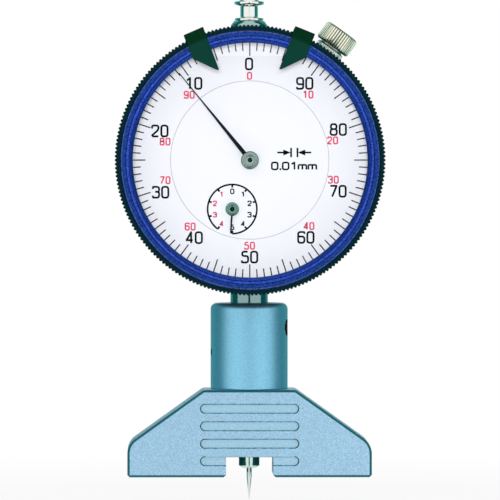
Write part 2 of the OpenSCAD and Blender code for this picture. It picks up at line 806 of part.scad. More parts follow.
module limit_hand() {
    deep(limit_front_y, limit_front_y + limit_t) limit_outline();
    translate([-limit_w, limit_front_y, limit_out - limit_t])
        cube([limit_w, limit_rear_y + limit_t - limit_front_y, limit_t]);
    translate([-limit_w, limit_rear_y, limit_hook])
        cube([limit_w, limit_t, limit_out - limit_hook]);
}

module limit_hand_left() {
    color("darkgreen") at_dial() rotate([0, -limit_left_angle, 0]) limit_hand();
}

module limit_hand_right() {
    color("darkgreen") at_dial() rotate([0, limit_right_angle, 0]) mirror([1, 0, 0]) limit_hand();
}

module clamp_screw() {
    shoulder = shoe_start + shoe_t + 0.05;
    knob_end = knob_start + knob_len;
    color("lightyellow") at_dial() rotate([0, clamp_angle, 0]) translate([0, -clamp_y, 0]) {
        intersection() {
            translate([0, 0, knob_start]) linear_extrude(knob_len)
                polygon(serrated_outline(knurl_count, knob_r, knurl_deep));
            // both ends' chamfers, in one profile that passes beyond the ribs
            rotate_extrude() polygon([
                [0, knob_start], [knob_r - knob_chamfer, knob_start],
                [knob_r + over, knob_start + knob_chamfer + over],
                [knob_r + over, knob_end - knob_chamfer - over],
                [knob_r - knob_chamfer, knob_end], [0, knob_end]
            ]);
        }
        translate([0, 0, shoulder]) cylinder(h = knob_start - shoulder, r = collar_r);
        translate([0, 0, case_in_r - shank_in])
            cylinder(h = shoulder - case_in_r + shank_in + over, r = clamp_shank_r);
    }
}

// ---------------------------------------------------------------- spindle

// Outline of the gaps between the rack's teeth: right is +X, up is +Z
module rack_gaps() {
    tip = gear_module;
    root = gear_module * 1.25;
    half = rack_pitch / 2 - rack_pitch * tooth_share / 2;
    tip_half = half + tip * tan(tooth_slope);
    root_half = half - root * tan(tooth_slope);
    first = dial_z + counter_pos[1] - floor((stroke + rack_spare) / rack_pitch) * rack_pitch;
    for (i = [0:rack_teeth - 1]) translate([rack_x, first + i * rack_pitch])
        polygon([[-tip, -tip_half], [root, -root_half], [root, root_half], [-tip, tip_half]]);
}

module spindle() {
    color("gainsboro") difference() {
        union() {
            translate([0, 0, spindle_low_z])
                cylinder(h = cap_z - spindle_low_z, r = spindle_r);
            translate([0, 0, cap_z - 0.1]) cylinder(h = cap_stud_len + 0.1, r = cap_stud_r);
        }
        // the rack, cut into a flat on the left
        translate([rack_x - gear_module - spindle_r, -spindle_r, rack_low_z - 0.5])
            cube([spindle_r, 2 * spindle_r, rack_teeth * rack_pitch + 1]);
        deep(-spindle_r - over, spindle_r + over) rack_gaps();
        // the guide pin's hole, and the holder's thread
        translate([0, 0, pin_z]) rotate([0, 90, 0]) cylinder(h = spindle_r + over, r = pin_r + seat_fit);
        translate([0, 0, spindle_low_z - over])
            cylinder(h = holder_stud_len + 0.5 + over, r = holder_stud_r + seat_fit);
    }
}

module guide_pin() {
    color("gray") translate([0.2, 0, pin_z]) rotate([0, 90, 0])
        cylinder(h = curl_x + curl_r - 0.2, r = pin_r);
}

module lifting_cap() {
    top = cap_z + cap_len;
    color("gainsboro") difference() {
        rotate_extrude() polygon([
            [0, cap_z], [cap_foot_r - 0.1, cap_z], [cap_foot_r, cap_z + 0.1],
            [cap_foot_r, cap_z + 0.5], [cap_foot_r - 0.1, cap_z + 0.6],
            [cap_neck_r + 0.15, cap_z + 0.7], [cap_neck_r, cap_z + 0.85],
            [cap_neck_r, top - 1.75], [cap_head_r - 0.1, top - 1.35],
            [cap_head_r, top - 1.2], [cap_head_r, top - 0.8],
            [cap_head_r - 0.2, top - 0.62], [cap_crown_r, top - 0.55],
            [cap_crown_r, top - 0.2], [cap_crown_r - 0.25, top], [0, top]
        ]);
        translate([0, 0, cap_z - over]) cylinder(h = cap_stud_len + 0.1 + over, r = cap_stud_r + seat_fit);
    }
}

module contact_holder() {
    nose_z = holder_z - holder_nose;
    color("gray") difference() {
        rotate_extrude() polygon([
            [0, nose_z], [holder_nose_r, nose_z], [holder_r, holder_z],
            [holder_r, spindle_low_z], [holder_stud_r, spindle_low_z],
            [holder_stud_r, spindle_low_z + holder_stud_len], [0, spindle_low_z + holder_stud_len]
        ]);
        translate([0, 0, nose_z - over]) cylinder(h = needle_seat + over, r = needle_r + seat_fit);
    }
}

module contact_needle() {
    color("silver") {
        translate([0, 0, -needle_out]) cylinder(h = needle_out, r1 = point_r, r2 = needle_r);
        cylinder(h = holder_z - holder_nose + needle_seat - 0.2, r = needle_r);
    }
}

// ---------------------------------------------------------------- movement

module movement_plate() {
    color("burlywood") difference() {
        at_dial() bar(plate_r, plate_front_y, plate_rear_y);
        for (p = [[0, 0], counter_pos, takeup_pos])
            at_dial_point(p) bar(bush_out_r + seat_fit, plate_front_y - over, plate_rear_y + over);
        at_dial() for (a = pillar_angles)
            rotate([0, -a, 0]) translate([pillar_dist, 0, 0])
                bar(screw_r + seat_fit, plate_front_y - over, plate_rear_y + over);
        // windows that lighten the plate
        at_dial() for (a = [150, 290]) rotate([0, -a, 0]) translate([plate_r * 0.6, 0, 0])
            bar(plate_window_r, plate_front_y - over, plate_rear_y + over);
    }
}

module movement_screws() {
    color("gray") at_dial() for (a = pillar_angles)
        rotate([0, -a, 0]) translate([pillar_dist, 0, 0]) cheese_screw(plate_rear_y, plate_screw_len);
}

// A bridge on two legs behind the rack pinion
module pinion_bridge() {
    color("burlywood") difference() {
        union() {
            for (p = bridge_legs) at_dial_point(p) {
                bar(leg_r, plate_rear_y, bridge_front_y + 0.1);
                bar(leg_r + 0.6, bridge_front_y, bridge_rear_y);
            }
            at_dial() deep(bridge_front_y, bridge_rear_y) {
                translate(bridge_legs[1] - [leg_r, 0])
                    square([2 * leg_r, bridge_legs[0][1] - bridge_legs[1][1]]);
                translate([bridge_legs[0][0], counter_pos[1] - leg_r])
                    square([counter_pos[0] - bridge_legs[0][0], 2 * leg_r]);
                translate(counter_pos) circle(leg_r);
            }
        }
        at_dial_point(counter_pos) bar(pivot_r + turn_fit, bridge_front_y - over, bridge_rear_y + over);
        for (p = bridge_legs) at_dial_point(p) screw_hole(bridge_rear_y, bridge_screw_len);
    }
}

module bridge_screws() {
    color("gray") for (p = bridge_legs) at_dial_point(p) cheese_screw(bridge_rear_y, bridge_screw_len);
}

// Plain bearings in the movement plate
module pivot_bushes() {
    color("gold") for (b = [[[0, 0], pivot_r], [counter_pos, arbor_r], [takeup_pos, pivot_r]])
        at_dial_point(b[0]) deep(plate_front_y, plate_rear_y) ring(bush_out_r, b[1] + turn_fit);
}

// A gear of the train's module
module gear(teeth, pitch_r, y0, y1) {
    deep(y0, y1) polygon(gear_outline(teeth, pitch_r, gear_module * tooth_tip, gear_module * tooth_root));
}

module rack_pinion() {
    color("gold") at_dial_point(counter_pos) {
        gear(rack_pinion_teeth, rack_pinion_pitch_r, -rack_pinion_w / 2, rack_pinion_w / 2);
        bar(arbor_r, small_hand_y - 0.1, bridge_front_y - face_gap);
        bar(pivot_r, bridge_front_y - 2 * face_gap, bridge_rear_y);
    }
}

// A large wheel, turned by phase so that its teeth meet the centre pinion's
module wheel(phase) {
    y0 = -wheel_y - wheel_t / 2;
    y1 = -wheel_y + wheel_t / 2;
    difference() {
        union() {
            rotate([0, -phase, 0]) gear(wheel_teeth, wheel_pitch_r, y0, y1);
            bar(wheel_hub_r, y0 - 0.3, y1 + 0.3);
        }
        bar(arbor_r + seat_fit, y0 - over, y1 + over);
        // spokes are left between five round windows
        for (i = [0:4]) rotate([0, -i * 72, 0]) translate([wheel_pitch_r * window_share, 0, 0])
            bar(wheel_pitch_r * window_r_share, y0 - over, y1 + over);
    }
}

module drive_wheel() {
    color("gold") at_dial_point(counter_pos) wheel(train_angle + 180 + 180 / wheel_teeth);
}

module takeup_wheel() {
    color("gold") at_dial_point(takeup_pos) wheel(takeup_angle + 180 + 180 / wheel_teeth);
}

module takeup_arbor() {
    color("silver") at_dial_point(takeup_pos) {
        bar(arbor_r, web_rear_y + face_gap, plate_front_y - face_gap);
        bar(pivot_r, web_rear_y - 0.5, plate_rear_y - 0.05);
        bar(collet_r, hair_front_y, hair_front_y + hair_w);
    }
}

module centre_pinion() {
    color("gold") at_dial() {
        rotate([0, -train_angle, 0])
            gear(pinion_teeth, pinion_pitch_r, -wheel_y - wheel_t / 2 - 0.6, -wheel_y + wheel_t / 2 + 0.4);
        bar(arbor_r, hand_y - 0.2, plate_front_y - face_gap);
        bar(pivot_r, plate_front_y - 2 * face_gap, plate_rear_y - 0.05);
    }
}

// A flat spiral strip from the collet to the stud
module hairspring() {
    steps = 24 * hair_turns;
    start_r = collet_r + turn_fit + hair_t / 2;
    function spiral(i, side) =
        polar(start_r + (hair_r - start_r) * i / steps + side * hair_t / 2, i * 15);
    color("lightsteelblue") at_dial_point(takeup_pos) deep(hair_front_y, hair_front_y + hair_w)
        polygon([
            for (i = [0:steps]) spiral(i, 1),
            for (i = [steps:-1:0]) spiral(i, -1)
        ]);
}

module hairspring_stud() {
    color("silver") at_dial_point(takeup_pos + [hair_r + hair_t / 2 + 0.6, 0])
        bar(0.6, web_rear_y, hair_front_y + hair_w);
}

// Two rails that keep the guide pin, and so the spindle, from turning
module guide_plate() {
    low = pin_z - pin_r - 1.6;
    high = pin_z + stroke + pin_r + 1.6;
    color("burlywood") difference() {
        translate([guide_x, plate_rear_y, low]) cube([guide_w, spindle_r + 0.2 - plate_rear_y, high - low]);
        translate([guide_x - over, -pin_r - turn_fit, low + 1])
            cube([guide_w + 2 * over, 2 * (pin_r + turn_fit), high - low - 2]);
    }
}

module spring_anchor() {
    color("silver") translate([curl_x, 0, anchor_z - anchor_h - anchor_in])
        cylinder(h = anchor_h + anchor_in, r = anchor_r);
}

// Return spring: one tube that runs up its axis, out to the curls, and back to the axis
curl_low_z = anchor_z + 0.02;
curl_high_z = pin_z - pin_r - 0.02;
curl_end = 2 * curl_wire_r; // straight end, one wire thick
curl_pitch = (curl_high_z - curl_low_z - 2 * curl_end) / (curl_count + 1);
curl_rings = 8;
curl_steps = (curl_count + 1) * curl_rings;
curl_sides = 6;

// How far the tube's middle lies from the spring's axis at ring i: it moves out and in over half a curl
function curl_reach(i) = curl_r * min(1, 2 * i / curl_rings, 2 * (curl_steps - i) / curl_rings);
curl_path = concat(
    [[0, 0, curl_low_z]],
    [for (i = [0:curl_steps]) let (a = i * 360 / curl_rings, up = i * curl_pitch / curl_rings)
        [curl_reach(i) * cos(a), curl_reach(i) * sin(a), curl_low_z + curl_end + up]],
    [[0, 0, curl_high_z]]
);

function unit(v) = v / norm(v);
// Direction of a path at its inner point i
function path_way(path, i) = unit(path[i + 1] - path[i - 1]);
// One ring of a tube round a path's point; the path starts and ends upright
function tube_ring(path, i, r, sides) =
    let (last = len(path) - 1,
         near = path_way(path, max(1, min(i, last - 1))),
         way = i == 0 || i == last ? [0, 0, 1] : near,
         side = unit(cross(near, [0, 0, 1])),
         top = cross(side, way))
    [for (k = [0:sides - 1]) path[i] + r * (side * cos(k * 360 / sides) + top * sin(k * 360 / sides))];

module return_spring() {
    n = len(curl_path);
    points = [for (i = [0:n - 1]) each tube_ring(curl_path, i, curl_wire_r, curl_sides)];
    sides = [for (i = [0:n - 2], k = [0:curl_sides - 1])
        let (a = i * curl_sides + k, b = i * curl_sides + (k + 1) % curl_sides)
        each [[a, b, b + curl_sides], [a, b + curl_sides, a + curl_sides]]];
    low_end = [for (k = [1:curl_sides - 2]) [0, k + 1, k]];
    high = (n - 1) * curl_sides;
    high_end = [for (k = [1:curl_sides - 2]) [high, high + k, high + k + 1]];
    color("lightgray") translate([curl_x, 0, 0])
        polyhedron(points, concat(sides, low_end, high_end));
}

// Least gap between the spring's wire and itself, taken between curls on the path's points
curl_gap = min([for (i = [1:curl_steps - curl_rings + 1]) norm(curl_path[i] - curl_path[i + curl_rings])])
    - 2 * curl_wire_r;
echo(least_gap_in_return_spring = curl_gap);

// ---------------------------------------------------------------- hands

// A turned boss with a ring groove, and a hole for its arbor from the rear
module hand_boss(r, y) {
    difference() {
        bar(r, y, y + boss_t);
        deep(y - over, y + 0.2) ring(arbor_r + 0.12, arbor_r * 0.5);
        bar(arbor_r + seat_fit, y + 0.3, y + boss_t + over);
    }
}

module main_pointer() {
    y = hand_y - 0.5;
    color("black") at_dial() rotate([0, main_reading, 0]) {
        hand_boss(hand_boss_r, y);
        deep(y + 0.35, y + 0.35 + blade_t) difference() {
            polygon([[-hand_w / 2, 0], [hand_w / 2, 0],
                     [hand_tip_w / 2, hand_reach * 0.7], [hand_tip_w / 2, hand_reach],
                     [-hand_tip_w / 2, hand_reach], [-hand_tip_w / 2, hand_reach * 0.7]]);
            circle(hand_boss_r - 0.2);
        }
    }
}

module small_pointer() {
    y = small_hand_y - 0.4;
    color("black") at_dial_point(counter_pos) rotate([0, small_reading, 0]) {
        hand_boss(small_boss_r, y);
        deep(y + 0.35, y + 0.35 + blade_t) difference() {
            translate([-small_w / 2, 0]) square([small_w, small_reach]);
            circle(small_boss_r - 0.2);
        }
    }
}

base();
sleeve();
sleeve_set_screw();
sleeve_dowel();
stem();
lower_bush();
case();
back_cover();
back_cover_screws();
top_bush();
inner_dial();
movement_plate();
movement_screws();
pinion_bridge();
bridge_screws();
pivot_bushes();
hairspring();
hairspring_stud();
guide_plate();
spring_anchor();
return_spring();
bezel_retainer();
clamp_shoe();
bezel();
bezel_band();
crystal();
scale_ring();
limit_hand_left();
limit_hand_right();
clamp_screw();
spindle();
lifting_cap();
guide_pin();
contact_holder();
contact_needle();
rack_pinion();
drive_wheel();
small_pointer();
centre_pinion();
main_pointer();
takeup_wheel();
takeup_arbor();
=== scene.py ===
"""Looks of a dial depth gauge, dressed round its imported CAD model.

The CAD's frame holds for all of it: +X to the right of the dial, +Y to the back, +Z up, the
origin on the spindle's axis in the plane of the measuring face. Sizes of pieces are written in
millimetres and turned to metres when a mesh is placed. The studio's are in metres.
"""

import logging
import math
import sys
from collections.abc import Callable, Sequence
from dataclasses import dataclass, field, replace
from enum import Enum

import bmesh
import bpy
from mathutils import Matrix, Vector


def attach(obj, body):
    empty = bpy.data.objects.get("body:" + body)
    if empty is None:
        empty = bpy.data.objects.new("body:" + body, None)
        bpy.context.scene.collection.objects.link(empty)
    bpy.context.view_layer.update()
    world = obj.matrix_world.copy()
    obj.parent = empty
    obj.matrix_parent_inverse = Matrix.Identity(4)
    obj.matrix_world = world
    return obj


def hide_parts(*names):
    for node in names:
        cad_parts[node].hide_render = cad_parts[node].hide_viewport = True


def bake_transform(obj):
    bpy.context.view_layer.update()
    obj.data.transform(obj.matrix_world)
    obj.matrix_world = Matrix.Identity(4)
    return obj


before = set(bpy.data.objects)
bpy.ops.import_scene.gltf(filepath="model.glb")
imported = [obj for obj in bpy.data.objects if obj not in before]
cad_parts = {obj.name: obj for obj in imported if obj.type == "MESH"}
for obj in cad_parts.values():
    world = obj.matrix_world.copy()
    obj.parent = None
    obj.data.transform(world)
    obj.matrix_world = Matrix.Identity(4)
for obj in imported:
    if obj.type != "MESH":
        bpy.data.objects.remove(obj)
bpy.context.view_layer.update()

LOG = logging.getLogger("depth_gauge")
MM = 0.001  # metres in a millimetre
DIAL_Z = 67.2  # height of the dial's centre
CLAMP_TURN = math.radians(36)  # of the clamp screw, clockwise from the top
CLAMP_Y = -3.0  # depth of the clamp screw's axis
SMALL_DIAL = (-3.708, -10.356)  # the small dial's centre, right and up from the dial's centre

Point = tuple[float, float]  # right and up, or a radius and a length along an axis
Pair = tuple[float, float]  # two sizes
Triple = tuple[float, float, float]
Section = tuple[float, float, float, float]


class Body(Enum):
    """The CAD bodies that pieces ride on."""

    GAUGE = "gauge_body"
    BEZEL = "bezel_body"
    LIMIT_LEFT = "limit_left_body"
    LIMIT_RIGHT = "limit_right_body"
    CLAMP = "clamp_body"
    SPINDLE = "spindle_body"
    COUNTER = "counter_body"
    CENTRE = "centre_body"
    TAKEUP = "takeup_body"


class Axis(Enum):
    """The axes that pieces are turned or drawn about."""

    UPRIGHT = "upright"
    DIAL = "dial"
    SMALL_DIAL = "small dial"
    CLAMP = "clamp"

    @property
    def matrix(self) -> Matrix:
        """Takes an axis's own millimetres, with its length along z, to the frame's metres.

        Returns:
            The matrix. Seen from the front, x of a dial's axis goes to the right, y down and z
            to the back. z of the clamp's axis goes outwards.
        """
        to_metres = Matrix.Scale(MM, 4)
        if self is Axis.UPRIGHT:
            return to_metres
        if self is Axis.CLAMP:
            turn = Matrix.Rotation(CLAMP_TURN, 4, "Y")
            return to_metres @ Matrix.Translation((0, CLAMP_Y, DIAL_Z)) @ turn
        right, up = SMALL_DIAL if self is Axis.SMALL_DIAL else (0.0, 0.0)
        face = Matrix(((1, 0, 0, 0), (0, 0, 1, 0), (0, -1, 0, 0), (0, 0, 0, 1)))
        return to_metres @ Matrix.Translation((right, 0, DIAL_Z + up)) @ face


# ---------------------------------------------------------------- finishes


def linear(code: str) -> tuple[float, float, float, float]:
    """Turns an sRGB colour into the linear one that shaders take.

    Args:
        code: Six hex digits after a hash sign.

    Returns:
        Red, green and blue from 0 to 1, and an alpha of 1.
    """
    parts = [int(code[i : i + 2], 16) / 255 for i in (1, 3, 5)]
    r, g, b = (c / 12.92 if c <= 0.04045 else ((c + 0.055) / 1.055) ** 2.4 for c in parts)
    return r, g, b, 1.0


def per_mm(size: float) -> float:
    """Gives the texture scale at which a pattern repeats about every size millimetres."""
    return 1 / (size * MM)


def add_node(
    tree: bpy.types.NodeTree, kind: str, inputs: dict | None = None, **settings: object
) -> bpy.types.Node:
    """Adds a node with its settings and links.

    Args:
        tree: The node tree that takes it.
        kind: The node type's name.
        inputs: A value or another node's output, by the input's name or number.
        **settings: The node's own attributes.

    Returns:
        The new node.
    """
    node = tree.nodes.new(kind)
    for name, value in settings.items():
        setattr(node, name, value)
    for key, value in (inputs or {}).items():
        if isinstance(value, bpy.types.NodeSocket):
            tree.links.new(value, node.inputs[key])
        else:
            node.inputs[key].default_value = value
    return node


def blank_material(name: str) -> bpy.types.Material:
    """Makes a material with an empty node tree.

    Args:
        name: Its name.

    Returns:
        The material.
    """
    material = bpy.data.materials.new(name)
    material.use_nodes = True
    material.node_tree.nodes.clear()
    return material


def around(
    tree: bpy.types.NodeTree, axis: Axis
) -> tuple[bpy.types.NodeSocket, bpy.types.NodeSocket]:
    """Measures how a point lies about an axis.

    Args:
        tree: The node tree that measures.
        axis: The axis.

    Returns:
        The point's distance from the axis and its place along it, in millimetres.
    """
    place, turn, _ = axis.matrix.decompose()
    point = add_node(
        tree,
        "ShaderNodeMapping",
        {
            "Vector": add_node(tree, "ShaderNodeTexCoord").outputs["Object"],
            "Location": place,
            "Rotation": turn.to_euler(),
            "Scale": (MM, MM, MM),
        },
        vector_type="TEXTURE",
    ).outputs[0]
    xyz = add_node(tree, "ShaderNodeSeparateXYZ", {0: point})
    across = add_node(tree, "ShaderNodeCombineXYZ", {0: xyz.outputs[0], 1: xyz.outputs[1]})
    radius = add_node(
        tree, "ShaderNodeVectorMath", {0: across.outputs[0]}, operation="LENGTH"
    ).outputs["Value"]
    return radius, xyz.outputs[2]


@dataclass(frozen=True)
class Rings:
    """Colours by distance from an axis: painted shade and highlights at the cuts, rims, bends and
    valleys that go round it.

    Attributes:
        axis: The axis.
        stops: Distances from it in millimetres, in order, and the sRGB colour at each.
    """

    axis: Axis
    stops: tuple[tuple[float, str], ...]

    def colour(self, tree: bpy.types.NodeTree) -> bpy.types.NodeSocket:
        """Blends from each colour to the next.

        Args:
            tree: The material's node tree.

        Returns:
            The colour at a point.
        """
        radius, _ = around(tree, self.axis)
        low, high = self.stops[0][0], self.stops[-1][0]
        share = add_node(
            tree, "ShaderNodeMapRange", {"Value": radius, "From Min": low, "From Max": high}
        )
        ramp = add_node(tree, "ShaderNodeValToRGB", {0: share.outputs[0]})
        spots = ramp.color_ramp.elements
        spots[0].color = linear(self.stops[0][1])
        spots[-1].color = linear(self.stops[-1][1])
        for stop, code in self.stops[1:-1]:
            spots.new((stop - low) / (high - low)).color = linear(code)
        return ramp.outputs[0]


HIGH_MARK, LOW_MARK = 0.7, 0.3  # values at which a mark counts as highest and as lowest


@dataclass(frozen=True)
class Finish:
    """A finish of one even colour; its children add the marks of how a surface was made.

    Attributes:
        name: What it is and how its surface was made.
        colour: Its sRGB colour.
        roughness: Its roughness.
        metallic: 1 for bare metal, less where a dye or a coat covers it, or 0.
        specular: The shader's specular level.
        contrast: The share by which the marks' low places are darker.
        spread: How far the marks move the roughness to each side.
        depth: The height of the marks in millimetres.
        rings: Colours that take the place of the even one: painted shade and highlights by
            radius.
    """

    name: str
    colour: str
    roughness: float
    metallic: float = 0.0
    specular: float = 0.5
    contrast: float = 0.0
    spread: float = 0.0
    depth: float = 0.0
    rings: Rings | None = None

    def build(self) -> bpy.types.Material:
        """Makes the material, or gives the one that is made already.

        Returns:
            The material.
        """
        material = bpy.data.materials.get(self.name)
        if material is None:
            material = blank_material(self.name)
            material.diffuse_color = linear(self.colour)
            tree = material.node_tree
            shader = add_node(
                tree,
                "ShaderNodeBsdfPrincipled",
                {
                    "Base Color": self.rings.colour(tree) if self.rings else linear(self.colour),
                    "Metallic": self.metallic,
                    "Roughness": self.roughness,
                    "Specular IOR Level": self.specular,
                },
            )
            marks = self.marks(tree)
            if marks is not None:
                self.vary(tree, shader, marks)
            add_node(tree, "ShaderNodeOutputMaterial", {"Surface": self.surface(tree, shader)})
        return material

    def marks(self, tree: bpy.types.NodeTree) -> bpy.types.NodeSocket | None:
        """Gives the marks of how the surface was made.

        Args:
            tree: The material's node tree.

        Returns:
            Their value, about 0.5. An even finish has none.
        """
        return None

    def surface(
        self, tree: bpy.types.NodeTree, shader: bpy.types.Node
    ) -> bpy.types.NodeSocket:
        """Gives what covers the piece.

        Args:
            tree: The material's node tree.
            shader: Its Principled node.

        Returns:
            The shader alone.
        """
        return shader.outputs[0]

    def vary(
        self, tree: bpy.types.NodeTree, shader: bpy.types.Node, marks: bpy.types.NodeSocket
    ) -> None:
        """Lets the marks drive the shader's colour, roughness and height.

        Args:
            tree: The material's node tree.
            shader: Its Principled node.
            marks: The marks, as a value about 0.5.
        """
        low = add_node(
            tree,
            "ShaderNodeMapRange",
            {"Value": marks, "From Min": HIGH_MARK, "From Max": LOW_MARK},
        ).outputs[0]
        if self.contrast:
            share = add_node(
                tree, "ShaderNodeMath", {0: low, 1: self.contrast}, operation="MULTIPLY"
            )
            bright = shader.inputs["Base Color"]
            given = bright.links[0].from_socket if bright.is_linked else linear(self.colour)
            # Inputs 6 and 7 are the two colours, and output 2 is their mixture
            colour = add_node(
                tree,
                "ShaderNodeMix",
                {0: share.outputs[0], 6: given, 7: linear("#000000")},
                data_type="RGBA",
            )
            tree.links.new(colour.outputs[2], bright)
        if self.spread:
            rough = add_node(
                tree,
                "ShaderNodeMapRange",
                {
                    "Value": low,
                    "To Min": self.roughness - self.spread,
                    "To Max": self.roughness + self.spread,
                },
            )
            tree.links.new(rough.outputs[0], shader.inputs["Roughness"])
        if self.depth:
            bump = add_node(
                tree,
                "ShaderNodeBump",
                {"Height": marks, "Strength": 1.0, "Distance": self.depth * MM},
            )
            tree.links.new(bump.outputs[0], shader.inputs["Normal"])


@dataclass(frozen=True)
class Blasted(Finish):
    """A bead-blasted, cast or sprayed surface: an even grain in every direction.

    Attributes:
        grain: The size of a grain in millimetres. The real ones are too fine to show, so they
            are drawn as coarse as the render needs.
    """

    grain: float = 0.3

    def marks(self, tree: bpy.types.NodeTree) -> bpy.types.NodeSocket:
        """Gives the grain.

        Args:
            tree: The material's node tree.

        Returns:
            A fine noise.
        """
        point = add_node(tree, "ShaderNodeTexCoord").outputs["Object"]
        grain = add_node(
            tree,
            "ShaderNodeTexNoise",
            {"Vector": point, "Scale": per_mm(self.grain), "Detail": 2.0, "Roughness": 0.6},
        )
        return grain.outputs[0]


@dataclass(frozen=True)
class Turned(Finish):
    """A surface cut on a lathe: fine rings round an axis.

    Attributes:
        axis: The axis.
        line: The distance of the tool's rings in millimetres, coarser than the real ones, so
            that they show.
    """

    axis: Axis = Axis.UPRIGHT
    line: float = 0.2

    def marks(self, tree: bpy.types.NodeTree) -> bpy.types.NodeSocket:
        """Gives the rings.

        Args:
            tree: The material's node tree.

        Returns:
            A noise along the shaft and, on its flat ends, by distance from the axis.
        """
        radius, length = around(tree, self.axis)
        along = add_node(tree, "ShaderNodeMath", {0: radius, 1: length}, operation="ADD")
        rings = add_node(
            tree,
            "ShaderNodeTexNoise",
            {"W": along.outputs[0], "Scale": 1 / self.line, "Detail": 3.0, "Roughness": 0.7},
            noise_dimensions="1D",
        )
        return rings.outputs[0]


@dataclass(frozen=True)
class Clear(Finish):
    """A clear window that lets lamps through to what is behind it.

    Attributes:
        ior: Its index of refraction.
    """

    ior: float = 1.49

    def surface(
        self, tree: bpy.types.NodeTree, shader: bpy.types.Node
    ) -> bpy.types.NodeSocket:
        """Gives a clear shader that rays on their way to a light pass unbent.

        Args:
            tree: The material's node tree.
            shader: Its Principled node.

        Returns:
            The mixed surface.
        """
        shader.inputs["Transmission Weight"].default_value = 1.0
        shader.inputs["IOR"].default_value = self.ior
        path = add_node(tree, "ShaderNodeLightPath").outputs
        passing = add_node(
            tree, "ShaderNodeMath", {0: path["Is Shadow Ray"], 1: path["Is Diffuse Ray"]},
            operation="MAXIMUM",
        )
        film = add_node(tree, "ShaderNodeBsdfTransparent", {0: linear("#FFFFFF")})
        mixed = add_node(
            tree,
            "ShaderNodeMixShader",
            {0: passing.outputs[0], 1: shader.outputs[0], 2: film.outputs[0]},
        )
        return mixed.outputs[0]


# Aluminium, blasted with fine beads and anodised pale blue: soft, with a fine sparkle
BASE_ALUMINIUM = Blasted(
    "anodised aluminium, bead-blasted pale blue", "#B0DCF8", 0.5, 0.45,
    contrast=0.4, spread=0.05, depth=0.01, grain=0.18,
)
# Its chamfers and the notch's walls: a dark teal of painted shade, for the shade and dark
# reflections at the edges and in the notch
EDGE_SHADE_ALUMINIUM = Blasted(
    "anodised aluminium, painted edge shade", "#236E76", 0.4, 0.25, 0.2,
    contrast=0.1, spread=0.03, depth=0.002,
)
# Rims of its grip grooves: painted shade as broken dark teal lines, darkest round the grooves'
# ends
GROOVE_RIM_SHADE = Blasted(
    "anodised aluminium, painted rim shade", "#1F6474", 0.4, 0.25, 0.2, contrast=0.95, grain=0.85,
    rings=Rings(Axis.UPRIGHT, (
        (8.0, "#66BCCB"), (12.2, "#66BCCB"), (12.6, "#03303A"), (13.2, "#03303A"),
    )),
)
# Floors of those grooves: a little paler, painted light that lifts the shade of the grooves'
# walls
GROOVE_FLOOR_LIGHT = replace(
    BASE_ALUMINIUM, name="anodised aluminium, groove floors, painted light", colour="#B8E4FC"
)
# The same metal, finer, so that the round sleeve keeps a clear light and dark side
SLEEVE_ALUMINIUM = Blasted(
    "anodised aluminium, fine-blasted blue", "#9CE2FF", 0.47, 0.96,
    contrast=0.22, spread=0.04, depth=0.006, grain=0.25,
)
# Steel, ground on centres: smooth and a little grey, with clear dark and light bands
GROUND_STEEL = Turned(
    "steel, ground bright", "#8AA8A8", 0.11, 1.0, contrast=0.04, depth=0.0002, line=0.25,
)
# Steel of the top bush and the clamp's shoe, turned: a little paler than the ground shaft
BUSH_STEEL = Turned(
    "steel, turned bright", "#A3C1BE", 0.1, 1.0, contrast=0.06, depth=0.0004, line=0.25,
)
# Steel of the lifting cap and the guide pin, turned and polished: bright and a little warm
POLISHED_STEEL = Turned(
    "steel, turned and polished", "#F2F5F0", 0.08, 1.0, contrast=0.04, depth=0.0004, line=0.25,
)
# Steel of the needle's holder, polished and left a little green by its oil
HOLDER_STEEL = Turned(
    "steel, polished and oiled", "#D2EADF", 0.08, 1.0, contrast=0.05, depth=0.0004, line=0.3,
)
# Needle steel, hardened and ground to a point: bright, with no lines that show
NEEDLE_STEEL = Finish("steel, hardened and ground", "#DDE6E0", 0.12, 1.0)
# Small steel screws and pins, turned and left bare: dull, with plain tool marks
SCREW_STEEL = Turned(
    "steel, turned screws", "#7E8682", 0.3, 0.5, contrast=0.3, spread=0.04, depth=0.002,
)
# Grub screw and dowel: black oxide, nearly without shine. The walls of the sleeve's holes that
# they sit in take it too, as painted shade
SCREW_BLACK_AND_HOLE_SHADE = Blasted(
    "steel, black oxide", "#0B0E0F", 0.45, 0.6, 0.2, contrast=0.4, depth=0.004, grain=0.2,
)
# Case of die-cast metal under a stoved satin black enamel, faintly grained
CASE_ENAMEL = Blasted(
    "die-cast metal, satin black enamel", "#12181B", 0.42, 0.0, 0.35,
    contrast=0.35, spread=0.05, depth=0.01, grain=0.5,
)
# Back cover of aluminium, turned and anodised clear: a dull silver with faint rings
COVER_ALUMINIUM = Turned(
    "anodised aluminium, turned satin", "#B4BABC", 0.5, 0.3, contrast=0.12, spread=0.04,
    depth=0.001, axis=Axis.DIAL, line=0.25,
)
# Bezel rim of aluminium, turned, blasted and anodised black, with a teal cast
RIM_ALUMINIUM = Blasted(
    "anodised aluminium, turned black", "#07323D", 0.38, 0.8, 0.1,
    contrast=0.4, spread=0.05, depth=0.006, grain=0.4,
)
